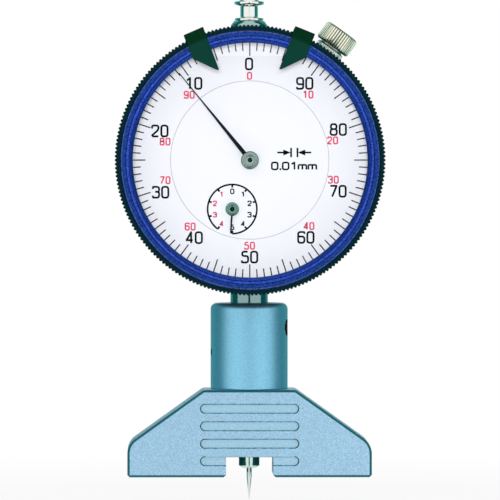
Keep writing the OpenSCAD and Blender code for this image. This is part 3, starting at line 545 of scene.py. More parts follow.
# Bezel band of aluminium, anodised blue, with painted shading by radius: dark lines of painted
# shade at its cuts, painted highlights on the strip between them and on a pale edge, and painted
# shade on the outer edge
BAND_PAINTED_LIGHT_AND_SHADE = Blasted(
    "anodised aluminium, turned and blasted blue", "#2C52BE", 0.32, 0.85,
    contrast=0.75, spread=0.04, depth=0.004, grain=0.4,
    rings=Rings(Axis.DIAL, (
        (24.7, "#2A5AC6"), (25.36, "#2A5AC6"), (25.42, "#0A2EAE"), (25.56, "#0A2EAE"),
        (25.6, "#4668F0"), (26.02, "#4A72FA"), (26.08, "#0A2CA4"), (26.22, "#0A2CA4"),
        (26.26, "#2858BC"), (27.0, "#2858BC"), (27.04, "#6272D4"), (27.2, "#6272D4"),
        (27.25, "#05303C"), (27.41, "#000428"),
    )),
)
# Crystal, cut from acrylic sheet: clear, with a smooth shine
ACRYLIC = Clear("acrylic, clear sheet", "#FFFFFF", 0.0, ior=1.49)
# Dial sheet of aluminium under white baked enamel, with a faint cool cast
DIAL_ENAMEL = Blasted(
    "aluminium, white baked enamel", "#F5F6FE", 0.5, 0.0, 0.2, contrast=0.02, depth=0.001,
    grain=0.6,
)
# Printing inks of the dial: matt and even
BLACK_INK = Finish("printing ink, black", "#040506", 0.8, specular=0.1)
RED_INK = Finish("printing ink, red", "#E5466A", 0.8, specular=0.1)
# Hand blades of thin steel under black lacquer: nearly matt
HAND_LACQUER = Finish("steel, black lacquer", "#0A1012", 0.55, specular=0.2)
# Main hand's boss of brass, turned and nickel-plated, with painted shading by radius: dark rings
# of painted shade at its steps, round its hole and at its rim, between paler rings of painted
# highlight
BOSS_NICKEL_PAINTED_SHADING = Turned(
    "brass, turned nickel plate", "#B4CCC4", 0.25, 1.0, contrast=0.2, spread=0.04, depth=0.002,
    rings=Rings(Axis.DIAL, (
        (0.0, "#7F9A92"), (0.1, "#7F9A92"), (0.16, "#050B0A"), (0.42, "#050B0A"),
        (0.52, "#B9D1C9"), (0.98, "#ADC5BD"), (1.04, "#7E978F"), (1.1, "#B9D1C9"),
        (1.5, "#ADC5BD"), (1.56, "#87A098"), (1.62, "#B4CCC4"), (1.7, "#9DB5AD"),
        (1.77, "#14211D"),
    )),
    axis=Axis.DIAL, line=0.15,
)
# Small hand's boss, plated a greener grey, with painted shade in its hole and on its edge
BOSS_GREY_PAINTED_SHADE = Turned(
    "brass, turned grey plate", "#749A8D", 0.25, 1.0, contrast=0.25, spread=0.04, depth=0.002,
    rings=Rings(Axis.SMALL_DIAL, (
        (0.0, "#4F6F66"), (0.1, "#4F6F66"), (0.16, "#040908"), (0.42, "#040908"),
        (0.52, "#86B3A4"), (1.34, "#80AC9D"), (1.42, "#3F5A52"),
    )),
    axis=Axis.SMALL_DIAL, line=0.15,
)
# Limit hands of spring steel sheet under a dark green lacquer, darker over the outer bend as
# painted shade
LIMIT_LACQUER_BEND_SHADE = Blasted(
    "spring steel, dark green lacquer", "#0A3A30", 0.5, 0.0, 0.05,
    contrast=0.15, spread=0.05, depth=0.004,
    rings=Rings(Axis.DIAL, ((26.9, "#0A3A30"), (27.5, "#012B17"))),
)
# Clamp knob of brass, knurled and bright nickel-plated: a warm cast, and painted shade in the
# valleys
KNOB_NICKEL_VALLEY_SHADE = Blasted(
    "brass, knurled nickel plate", "#FFFFEC", 0.24, 1.0, contrast=0.06, depth=0.002,
    rings=Rings(Axis.CLAMP, ((3.7, "#84907F"), (3.84, "#FFFFEC"))),
)
# Its collar, ribbed less deeply: cooler and a little duller, with painted shade in its valleys
COLLAR_NICKEL_VALLEY_SHADE = Blasted(
    "brass, turned nickel plate, dull", "#F0FBF2", 0.28, 1.0, contrast=0.1, depth=0.002,
    rings=Rings(Axis.CLAMP, ((3.02, "#C2D6C8"), (3.12, "#F0FBF2"))),
)
# Wheels and plates of the movement: brass, cut and lightly lacquered, a warm yellow
GEAR_BRASS = Blasted(
    "brass, cut and lacquered", "#C9A45A", 0.28, 1.0, contrast=0.15, spread=0.05, depth=0.01,
)
# Plain bearings of bronze: redder and duller than the brass
BEARING_BRONZE = Blasted(
    "bronze, reamed", "#A9743F", 0.35, 1.0, contrast=0.15, spread=0.05, depth=0.01,
)
# Springs of hard drawn steel wire and strip: an even bright grey
SPRING_STEEL = Finish("spring steel, drawn", "#A7AFB4", 0.25, 1.0)


# ---------------------------------------------------------------- making pieces

WELD = 1e-5  # distance at which corners become one, in a drawing's own units
CAD_WELD = 2e-7  # the same, in metres, for CAD meshes and repeats
STEEL_EDGE = 0.03  # width of the rounding of turned steel edges, in millimetres
SAME_R = 0.02  # distance in millimetres at which a corner still lies on a cylinder


def added(name: str, data: bpy.types.ID) -> bpy.types.Object:
    """Adds an object to the scene.

    Args:
        name: Its name.
        data: Its mesh, light or camera.

    Returns:
        The object.
    """
    made = bpy.data.objects.new(name, data)
    bpy.context.scene.collection.objects.link(made)
    return made


def finished_piece(
    name: str,
    mesh: bpy.types.Mesh,
    finish: Finish,
    body: Body | None,
    replaces: tuple[str, ...] = (),
    crease: float = 32.0,
    others: tuple[Finish, ...] = (),
) -> bpy.types.Object:
    """Turns a mesh into a piece of the gauge.

    Args:
        name: The piece's name.
        mesh: Its mesh, in place, in metres.
        finish: Its finish.
        body: The CAD body that it rides on, or None if it is blended across two.
        replaces: The CAD nodes that it stands for.
        crease: The least angle, in degrees, at which an edge looks sharp.
        others: Its other finishes, for faces whose number is 1 or more.

    Returns:
        The piece.
    """
    for number, own in enumerate((finish, *others)):
        if number < len(mesh.materials):
            mesh.materials[number] = own.build()
        else:
            mesh.materials.append(own.build())
    mesh.shade_smooth()
    mesh.set_sharp_from_angle(angle=math.radians(crease))
    mesh = weighed(mesh)
    mesh.name = name
    piece = added(name, mesh)
    if body:
        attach(piece, body.value)
    if replaces:
        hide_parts(*replaces)
    rides = body.value if body else "two bodies"
    LOG.info("piece %s: %d faces, on %s", name, len(mesh.polygons), rides)
    return piece


def dress_nodes(finish: Finish, *nodes: str) -> None:
    """Gives CAD nodes whose shape is right their finish.

    Args:
        finish: The finish.
        *nodes: The nodes' names.
    """
    for name in nodes:
        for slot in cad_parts[name].material_slots:
            slot.material = finish.build()
        LOG.info("CAD node %s: %s", name, finish.name)


def closed_mesh(bm: bmesh.types.BMesh, matrix: Matrix) -> bpy.types.Mesh:
    """Cleans what was drawn, places it and turns it into a mesh.

    Args:
        bm: The drawn shape; it is freed.
        matrix: Takes its own units to the frame's metres.

    Returns:
        The mesh.
    """
    bmesh.ops.remove_doubles(bm, verts=bm.verts, dist=WELD)
    bmesh.ops.recalc_face_normals(bm, faces=bm.faces)
    bm.transform(matrix)
    mesh = bpy.data.meshes.new("drawn")
    bm.to_mesh(mesh)
    bm.free()
    return mesh


def rounded_edges(bm: bmesh.types.BMesh, width: float, least: float) -> None:
    """Rounds a shape's sharp edges.

    Args:
        bm: The shape, closed.
        width: The width of the rounding, in the shape's own units.
        least: The least angle between two faces, in degrees, that counts as sharp.
    """
    sharp = [
        e for e in bm.edges
        if len(e.link_faces) == 2 and e.calc_face_angle(0.0) > math.radians(least)
    ]
    bmesh.ops.bevel(
        bm, geom=sharp, offset=width, segments=2, profile=0.5, affect="EDGES",
        clamp_overlap=True,
    )


def rounded_copy(
    node: str,
    width: float,
    least: float = 30.0,
    choose: Callable[[bmesh.types.BMFace], int] | None = None,
    mouth: Callable[[bmesh.types.BMEdge], bool] | None = None,
    mouth_cut: float = 0.0,
) -> bpy.types.Mesh:
    """Copies a CAD node's mesh and rounds its sharp edges.

    Args:
        node: The node's name.
        width: The width of the rounding in millimetres.
        least: The least angle, in degrees, of an edge that is rounded.
        choose: Gives the number of a face's finish, where the piece has several.
        mouth: Tells which edges are cut before the rest are rounded.
        mouth_cut: The width of that cut in millimetres.

    Returns:
        The new mesh.
    """
    bm = bmesh.new()
    bm.from_mesh(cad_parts[node].data)
    bmesh.ops.remove_doubles(bm, verts=bm.verts, dist=CAD_WELD)
    bmesh.ops.dissolve_limit(
        bm, angle_limit=math.radians(1), verts=bm.verts, edges=bm.edges
    )
    if mouth:
        bmesh.ops.bevel(
            bm, geom=[edge for edge in bm.edges if mouth(edge)], offset=mouth_cut * MM,
            segments=2, profile=0.5, affect="EDGES",
        )
    rounded_edges(bm, width * MM, least)
    for face in bm.faces:
        face.material_index = choose(face) if choose else 0
    return closed_mesh(bm, Matrix.Identity(4))


def smoothed_node(node: str, name: str, finish: Finish, body: Body) -> None:
    """Replaces a turned steel CAD node with a copy whose edges are softened.

    Args:
        node: The node's name.
        name: The copy's name.
        finish: Its finish.
        body: The CAD body that it rides on.
    """
    finished_piece(
        name, rounded_copy(node, STEEL_EDGE, least=40), finish, body,
        (node,), crease=38,
    )


def true_round(mesh: bpy.types.Mesh, radius: float) -> None:
    """Shades an upright cylinder exactly round, so that a hole in it leaves no streaks.

    Args:
        mesh: The mesh, finished; the cylinder's axis is the gauge's.
        radius: The cylinder's radius in millimetres.
    """
    normals = [corner.vector.copy() for corner in mesh.corner_normals]
    for face in mesh.polygons:
        spots = [mesh.vertices[corner].co for corner in face.vertices]
        if all(abs(spot.xy.length / MM - radius) < SAME_R for spot in spots):
            for loop, spot in zip(face.loop_indices, spots):
                normals[loop] = Vector((spot.x, spot.y, 0.0)).normalized()
    mesh.normals_split_custom_set(normals)


def weighed(mesh: bpy.types.Mesh) -> bpy.types.Mesh:
    """Lets large faces shade flat beside the roundings at their edges.

    Args:
        mesh: The mesh, which is used up.

    Returns:
        The same mesh with weighted normals.
    """
    host = added("host", mesh)
    host.modifiers.new("weights", "WEIGHTED_NORMAL").keep_sharp = True
    graph = bpy.context.evaluated_depsgraph_get()
    result = bpy.data.meshes.new_from_object(host.evaluated_get(graph))
    bpy.data.objects.remove(host)
    bpy.data.meshes.remove(mesh)
    return result


def lathed(
    profile: list[Point], axis: Axis, segments: int, ring: bool = False
) -> bpy.types.Mesh:
    """Turns a profile about an axis.

    Args:
        profile: Points of radius and length along the axis. A solid's run from the axis to the
            axis, and a ring's run once round its section.
        axis: The axis.
        segments: The number of faces round it.
        ring: True if the profile is a closed section.

    Returns:
        The closed mesh.
    """
    bm = bmesh.new()
    rings = []
    for k in range(segments):
        a = 2 * math.pi * k / segments
        rings.append([bm.verts.new((r * math.cos(a), r * math.sin(a), h)) for r, h in profile])
    last = len(profile) - (0 if ring else 1)
    for k in range(segments):
        near, far = rings[k], rings[(k + 1) % segments]
        for i in range(last):
            j = (i + 1) % len(profile)
            corners = [near[i], near[j]]
            if profile[j][0] > 0:
                corners.append(far[j])
            if profile[i][0] > 0:
                corners.append(far[i])
            if len(corners) > 2:
                bm.faces.new(corners)
    return closed_mesh(bm, axis.matrix)


def prism(outline: list[Point], low: float, high: float) -> bmesh.types.BMesh:
    """Draws an outline with a thickness.

    Args:
        outline: Its corners, in order.
        low: Where the thickness starts, along z.
        high: Where it ends.

    Returns:
        The shape, to be placed by closed_mesh.
    """
    bm = bmesh.new()
    face = bm.faces.new([bm.verts.new((x, y, low)) for x, y in outline])
    grown = bmesh.ops.extrude_face_region(bm, geom=[face])["geom"]
    moved = [v for v in grown if isinstance(v, bmesh.types.BMVert)]
    bmesh.ops.translate(bm, verts=moved, vec=(0, 0, high - low))
    bmesh.ops.recalc_face_normals(bm, faces=bm.faces)
    return bm


def join_sections(
    bm: bmesh.types.BMesh, rows: list[list[bmesh.types.BMVert]], closed: bool = False
) -> None:
    """Joins four-cornered sections into a strip.

    Args:
        bm: The shape that takes its faces.
        rows: The sections in order, each a pair of corners and the pair that lies across.
        closed: True if the last section meets the first. Otherwise both ends get a face.
    """
    n = len(rows)
    for i in range(n if closed else n - 1):
        a, b = rows[i], rows[(i + 1) % n]
        for p, q in ((0, 1), (1, 3), (3, 2), (2, 0)):
            bm.faces.new((a[p], a[q], b[q], b[p]))
    if not closed:
        for row in (rows[0], rows[-1]):
            bm.faces.new((row[0], row[1], row[3], row[2]))


# ---------------------------------------------------------------- repeats


@dataclass
class RoundRepeat:
    """Repeats a small piece about an axis by a tree of geometry nodes.

    Attributes:
        count: The number of repeats in a full turn.
        merge: The distance in metres below which neighbours' corners become one.
    """

    count: int
    merge: float = CAD_WELD

    @staticmethod
    def tree() -> bpy.types.NodeTree:
        """Builds the tree once: points on the axis, an instance on each, turned by its number.

        Returns:
            The tree, with inputs named Item, Count, Merge and Finish.
        """
        made = bpy.data.node_groups.get("repeat about an axis")
        if made is not None:
            return made
        made = bpy.data.node_groups.new("repeat about an axis", "GeometryNodeTree")
        for name, kind in (
            ("Item", "NodeSocketObject"),
            ("Count", "NodeSocketInt"),
            ("Merge", "NodeSocketFloat"),
            ("Finish", "NodeSocketMaterial"),
        ):
            made.interface.new_socket(name, in_out="INPUT", socket_type=kind)
        made.interface.new_socket("Geometry", in_out="OUTPUT", socket_type="NodeSocketGeometry")
        given = add_node(made, "NodeGroupInput").outputs
        item = add_node(made, "GeometryNodeObjectInfo", {"Object": given["Item"]})
        points = add_node(made, "GeometryNodePoints", {"Count": given["Count"]})
        step = add_node(
            made, "ShaderNodeMath", {0: 2 * math.pi, 1: given["Count"]}, operation="DIVIDE"
        )
        number = add_node(made, "GeometryNodeInputIndex")
        angle = add_node(
            made, "ShaderNodeMath", {0: number.outputs[0], 1: step.outputs[0]},
            operation="MULTIPLY",
        )
        euler = add_node(made, "ShaderNodeCombineXYZ", {"Z": angle.outputs[0]})
        turn = add_node(made, "FunctionNodeEulerToRotation", {0: euler.outputs[0]})
        placed = add_node(
            made,
            "GeometryNodeInstanceOnPoints",
            {
                "Points": points.outputs[0],
                "Instance": item.outputs["Geometry"],
                "Rotation": turn.outputs[0],
            },
        )
        real = add_node(made, "GeometryNodeRealizeInstances", {0: placed.outputs[0]})
        joined = add_node(
            made,
            "GeometryNodeMergeByDistance",
            {"Geometry": real.outputs[0], "Distance": given["Merge"]},
        )
        done = add_node(
            made,
            "GeometryNodeSetMaterial",
            {"Geometry": joined.outputs[0], "Material": given["Finish"]},
        )
        add_node(made, "NodeGroupOutput", {0: done.outputs[0]})
        return made

    def mesh(self, item: bmesh.types.BMesh, finish: Finish, axis: Axis) -> bpy.types.Mesh:
        """Repeats an item about an axis.

        Args:
            item: What repeats, drawn in millimetres about its own z axis; it is freed.
            finish: The finish of the whole.
            axis: The axis that it is repeated about.

        Returns:
            One plain mesh, in place, in metres.
        """
        item.transform(Matrix.Scale(MM, 4))
        source = bpy.data.meshes.new("item")
        item.to_mesh(source)
        item.free()
        single = bpy.data.objects.new("item", source)
        return evaluated(
            self.tree(),
            {"Item": single, "Count": self.count, "Merge": self.merge, "Finish": finish.build()},
            axis.matrix @ Matrix.Scale(1 / MM, 4),
        )


def evaluated(
    tree: bpy.types.NodeTree, inputs: dict[str, object], matrix: Matrix
) -> bpy.types.Mesh:
    """Runs a tree of geometry nodes and keeps its result as a plain mesh.

    Args:
        tree: The tree.
        inputs: Its inputs by name; objects among them are used up.
        matrix: Where the result goes.

    Returns:
        The mesh, with its faces outwards.
    """
    host = added("host", bpy.data.meshes.new("host"))
    modifier = host.modifiers.new("nodes", "NODES")
    modifier.node_group = tree
    for socket in tree.interface.items_tree:
        if socket.in_out == "INPUT" and socket.name in inputs:
            modifier[socket.identifier] = inputs[socket.name]
    graph = bpy.context.evaluated_depsgraph_get()
    mesh = bpy.data.meshes.new_from_object(host.evaluated_get(graph))
    host.modifiers.clear()
    bpy.data.objects.remove(host)
    for value in inputs.values():
        if isinstance(value, bpy.types.Object):
            bpy.data.objects.remove(value)
    bm = bmesh.new()
    bm.from_mesh(mesh)
    bmesh.ops.recalc_face_normals(bm, faces=bm.faces)
    bm.transform(matrix)
    bm.to_mesh(mesh)
    bm.free()
    return mesh


def toothed_sector(
    profile: Sequence[Triple], count: int, across: Sequence[Point], ring: bool
) -> bmesh.types.BMesh:
    """Draws one tooth's share of a serrated or knurled piece.

    Args:
        profile: Points of radius, length along the axis, and how much of the tooth's depth
            applies there, from 0 to 1.
        count: The number of teeth in a full turn.
        across: Points across one tooth: its share of the pitch, and its depth there.
        ring: True if the profile is a closed section, and not one from axis to axis.

    Returns:
        The open sector, whose neighbours close it.
    """
    bm = bmesh.new()
    columns = []
    for share, deep in across:
        a = 2 * math.pi * share / count
        columns.append(
            [
                bm.verts.new(
                    ((r - deep * part) * math.cos(a), (r - deep * part) * math.sin(a), h)
                )
                for r, h, part in profile
            ]
        )
    last = len(profile) - (0 if ring else 1)
    for near, far in zip(columns, columns[1:]):
        for i in range(last):
            j = (i + 1) % len(profile)
            bm.faces.new([near[i], near[j], far[j], far[i]])
    bmesh.ops.remove_doubles(bm, verts=bm.verts, dist=WELD)
    return bm


# ---------------------------------------------------------------- sub-assemblies


@dataclass
class BaseAndSleeve:
    """The base block, the sleeve on it, and the stem's visible length.

    Attributes:
        base_edge: The width of the rounding of the base's edges.
        sleeve_edge: The width of the rounding of the sleeve's edges.
        sleeve_r: The sleeve's radius.
        mouth_cut: The width of the cut round the mouths of the base's grip grooves.
        mouth_angle: The least angle, in radians, between the faces at such a mouth.
        notch: Half the notch's width, and its top, both with a margin.
        grip: Half the grooves' length, and the heights that they lie between, with a margin.
        face_y: How far from the axis a point of the base's front or rear lies at least.
        floor_y: How far from the axis a groove's floor lies at most.
        wall_facing: How much a wall of the notch looks to the front or the rear at most, where
            1 is straight to it.
        floor_facing: How much a groove's floor does so at least.
        chamfer_facing: Between which shares a chamfer does so.
        wall: The radii between which the walls of the sleeve's side holes lie.
        wall_z: The heights between which they lie.
    """

    base_edge: float = 0.2
    sleeve_edge: float = 0.08
    sleeve_r: float = 8.2
    mouth_cut: float = 0.16
    mouth_angle: float = 1.0
    notch: Pair = (5.1, 4.4)
    grip: Triple = (10.5, 1.5, 17.0)
    face_y: float = 7.99
    floor_y: float = 7.7
    wall_facing: float = 0.3
    floor_facing: float = 0.97
    chamfer_facing: Pair = (0.5, 0.85)
    wall: Pair = (5.0, 8.19)
    wall_z: Pair = (20.0, 35.0)

    def in_notch(self, spot: Vector) -> bool:
        """Tells whether a point in millimetres lies at the notch."""
        half, top = self.notch
        return abs(spot.x) < half and spot.z < top

    def in_grip(self, spot: Vector) -> bool:
        """Tells whether a point in millimetres lies where the grip grooves are."""
        half, low, high = self.grip
        return abs(spot.x) < half and low < spot.z < high

    def is_mouth(self, edge: bmesh.types.BMEdge) -> bool:
        """Tells whether an edge is a grip groove's, where it opens on a face of the base.

        Args:
            edge: The edge.

        Returns:
            True if it is.
        """
        middle = (edge.verts[0].co + edge.verts[1].co) / 2 / MM
        on_face = abs(middle.y) > self.face_y and self.in_grip(middle)
        sharp = edge.calc_face_angle(0.0) > self.mouth_angle
        return on_face and sharp and not self.in_notch(middle)

    def base_finish(self, face: bmesh.types.BMFace) -> int:
        """Tells where a face of the base lies.

        Args:
            face: The face.

        Returns:
            1 for a chamfer or a notch wall, 2 for a groove's rim (both painted shade), 3 for a
            groove's floor (painted lighter), or 0.
        """
        middle, facing = face.calc_center_median() / MM, abs(face.normal.y)
        if self.in_notch(middle) and facing < self.wall_facing:
            return 1
        if self.in_grip(middle):
            if facing < self.floor_facing:
                return 2
            if abs(middle.y) < self.floor_y:
                return 3
        least, most = self.chamfer_facing
        return int(least < facing < most)

    def sleeve_finish(self, face: bmesh.types.BMFace) -> int:
        """Tells where a face of the sleeve lies.

        Args:
            face: The face.

        Returns:
            1 for a wall of a hole in the sleeve's side, painted black as shade, or 0.
        """
        middle = face.calc_center_median() / MM
        near, far = self.wall
        low, high = self.wall_z
        beside = abs(middle.x) > near and near < middle.xy.length < far
        return int(beside and low < middle.z < high)

    def build(self) -> None:
        """Rounds the edges of base and sleeve and dresses the small pieces."""
        base = rounded_copy(
            "base", self.base_edge, choose=self.base_finish, mouth=self.is_mouth,
            mouth_cut=self.mouth_cut,
        )
        # The base's chamfers, notch walls and groove rims take painted shade, its groove floors
        # painted light
        finished_piece(
            "base_block", base, BASE_ALUMINIUM, Body.GAUGE, ("base",), crease=50,
            others=(EDGE_SHADE_ALUMINIUM, GROOVE_RIM_SHADE, GROOVE_FLOOR_LIGHT),
        )
        # The walls of the sleeve's side holes take the screws' black as painted shade
        sleeve = finished_piece(
            "clamping_sleeve",
            rounded_copy("sleeve", self.sleeve_edge, least=40, choose=self.sleeve_finish),
            SLEEVE_ALUMINIUM, Body.GAUGE, ("sleeve",), crease=50,
            others=(SCREW_BLACK_AND_HOLE_SHADE,),
        )
        true_round(sleeve.data, self.sleeve_r)
        smoothed_node("stem", "stem_tube", GROUND_STEEL, Body.GAUGE)
        dress_nodes(SCREW_BLACK_AND_HOLE_SHADE, "sleeve_set_screw", "sleeve_dowel")
        dress_nodes(BEARING_BRONZE, "lower_bush")


@dataclass
class DialCase:
    """The case behind the bezel, with its cover, top bush and clamp shoe.

    Attributes:
        case_edge: The width of the rounding of the case's edges.
        cover_edge: The width of the rounding of the cover's edges.
    """

    case_edge: float = 0.15
    cover_edge: float = 0.08

    def build(self) -> None:
        """Rounds the edges of case and cover and dresses the rest."""
        finished_piece(
            "case_shell", rounded_copy("case", self.case_edge, least=40), CASE_ENAMEL,
            Body.GAUGE, ("case",), crease=50,
        )
        finished_piece(
            "back_plate", rounded_copy("back_cover", self.cover_edge, least=40),
            COVER_ALUMINIUM, Body.GAUGE, ("back_cover",), crease=50,
        )
        dress_nodes(SCREW_STEEL, "back_cover_screws", "movement_screws", "bridge_screws")
        smoothed_node("top_bush", "upper_bush", BUSH_STEEL, Body.GAUGE)
        dress_nodes(BUSH_STEEL, "clamp_shoe")


@dataclass
class Bezel:
    """The turning bezel: serrated rim, blue band and crystal.

    Attributes:
        count: The number of serrations.
        tooth: Their depth.
        crest: Half of a serration's crest, as a share of the pitch.
        rim_r: The rim's radius.
        front: The depth of its front.
        rear: The depth of its rear.
        front_cut: The width of the chamfer at its front.
        rear_cut: The width of the chamfer at its rear.
        seats: The steps of its bore from the front on, each by its radius and the depth that
            it goes to: the seats of the band and of the crystal, the inner and the outer side
            of the lip before the scale's ring, and the bore over the case's neck.
    """

    count: int = 210
    tooth: float = 0.35
    crest: float = 0.16
    rim_r: float = 28.5
    front: float = -16.0
    rear: float = -8.1
    front_cut: float = 0.4
    rear_cut: float = 0.12
    seats: tuple[Point, ...] = (
        (27.41, -15.2), (25.36, -14.0), (24.9, -9.3), (25.35, -10.5), (26.21, -8.1),
    )

    def build(self) -> None:
        """Cuts the rim's serrations and dresses the band and the crystal."""
        r = self.rim_r
        profile = [
            (r, self.rear + self.rear_cut, 1), (r, self.front + self.front_cut, 1),
            (r - self.front_cut, self.front, 0.35),
        ]
        depth = self.front
        for radius, deeper in self.seats:
            profile += [(radius, depth, 0), (radius, deeper, 0)]
            depth = deeper
        profile.append((r - self.rear_cut, self.rear, 0.8))
        across = [
            (-0.5, self.tooth), (-self.crest, 0.0), (self.crest, 0.0), (0.5, self.tooth),
        ]
        sector = toothed_sector(profile, self.count, across, ring=True)
        finished_piece(
            "bezel_rim", RoundRepeat(self.count).mesh(sector, RIM_ALUMINIUM, Axis.DIAL),
            RIM_ALUMINIUM, Body.BEZEL, ("bezel",), crease=25,
        )
        dress_nodes(BAND_PAINTED_LIGHT_AND_SHADE, "bezel_band")
        dress_nodes(ACRYLIC, "crystal")
        dress_nodes(SPRING_STEEL, "bezel_retainer")


# ---------------------------------------------------------------- dial printing

WIDTH = 0.62  # of a numeral's middle line, for a height of 1
CORNER_STEPS = 4  # sides of a rounded corner
ARC_STEP = 4.0  # degrees between an arc's points
SAME_SPOT = 1e-9  # distance at which two points of a line count as one


def soft_line(corners: list[Point], radius: float, closed: bool) -> list[Point]:
    """Rounds the corners of a line.

    Args:
        corners: The line's corners.
        radius: The radius of the rounding, less where a side is short.
        closed: True if the line's end meets its start.

    Returns:
        The points of the rounded line.
    """
    points: list[Point] = []
    n = len(corners)
    for i, corner in enumerate(corners):
        here = Vector(corner)
        if not closed and i in (0, n - 1):
            points.append(corner)
            continue
        before, after = Vector(corners[i - 1]) - here, Vector(corners[(i + 1) % n]) - here
        reach = min(radius, before.length / 2, after.length / 2)
        a, b = here + before.normalized() * reach, here + after.normalized() * reach
        for k in range(CORNER_STEPS + 1):
            t = k / CORNER_STEPS
            p = a.lerp(here, t).lerp(here.lerp(b, t), t)
            points.append((p.x, p.y))
    return points


@dataclass(frozen=True)
class Stroke:
    """One stroke of a sign, in a cell that is 1 high, and WIDTH wide for a numeral.

    Attributes:
        corners: The corners of its middle line.
        radius: The radius of their rounding.
        closed: True if its end meets its start.
    """

    corners: tuple[Point, ...]
    radius: float = 0.24
    closed: bool = False

    def points(self) -> list[Point]:
        """Gives the stroke's middle line."""
        return soft_line(list(self.corners), self.radius, self.closed)


W = WIDTH  # short, for the table
NUMERALS: dict[str, tuple[Stroke, ...]] = {
    "0": (Stroke(((0, 0), (W, 0), (W, 1), (0, 1)), closed=True),),
    "1": (Stroke(((0.1, 0.76), (0.4, 1), (0.4, 0)), radius=0.02),),
    "2": (Stroke(((0, 0.72), (0, 1), (W, 1), (W, 0.6), (0, 0.1), (0, 0)), radius=0.26),
          Stroke(((0, 0), (W, 0)))),
    "3": (Stroke(((0, 0.8), (0, 1), (W, 1), (W, 0.54), (0.22, 0.54))),
          Stroke(((0.22, 0.54), (W, 0.54), (W, 0), (0, 0), (0, 0.2)))),
    "4": (Stroke(((0.46, 0), (0.46, 1), (0, 0.27), (W, 0.27)), radius=0.01),),
    "5": (Stroke(((W - 0.04, 1), (0.05, 1), (0.02, 0.6), (W, 0.6), (W, 0), (0, 0), (0, 0.2)),
                 radius=0.22),),
    "6": (Stroke(((W, 0.82), (W, 1), (0, 1), (0, 0), (W, 0), (W, 0.58), (0, 0.58))),),
    "7": (Stroke(((0, 1), (W, 1), (0.18, 0)), radius=0.02),),
    "8": (Stroke(((0.03, 0.54), (W - 0.03, 0.54), (W - 0.03, 1), (0.03, 1)), closed=True),
          Stroke(((0, 0), (W, 0), (W, 0.54), (0, 0.54)), closed=True)),
    "9": (Stroke(((0, 0.18), (0, 0), (W, 0), (W, 1), (0, 1), (0, 0.42), (W, 0.42))),),
    ".": (Stroke(((0.05, -0.1), (0.05, 0.16)), radius=0),),
    "m": (Stroke(((0, 0), (0, 0.66), (0.42, 0.66), (0.42, 0)), radius=0.16),
          Stroke(((0.42, 0.5), (0.42, 0.66), (0.84, 0.66), (0.84, 0)), radius=0.16)),
}
ADVANCE = {".": 0.12, "m": 1.0}  # width of a sign's cell; a numeral's is WIDTH


@dataclass(frozen=True)
class Lettering:
    """A size of signs.

    Attributes:
        height: Their height over all.
        pen: The width of their strokes.
        wide: How much wider than usual they are.
        gap: The space between two of them, for a pen of 1.
    """

    height: float
    pen: float
    wide: float
    gap: float = 1.5


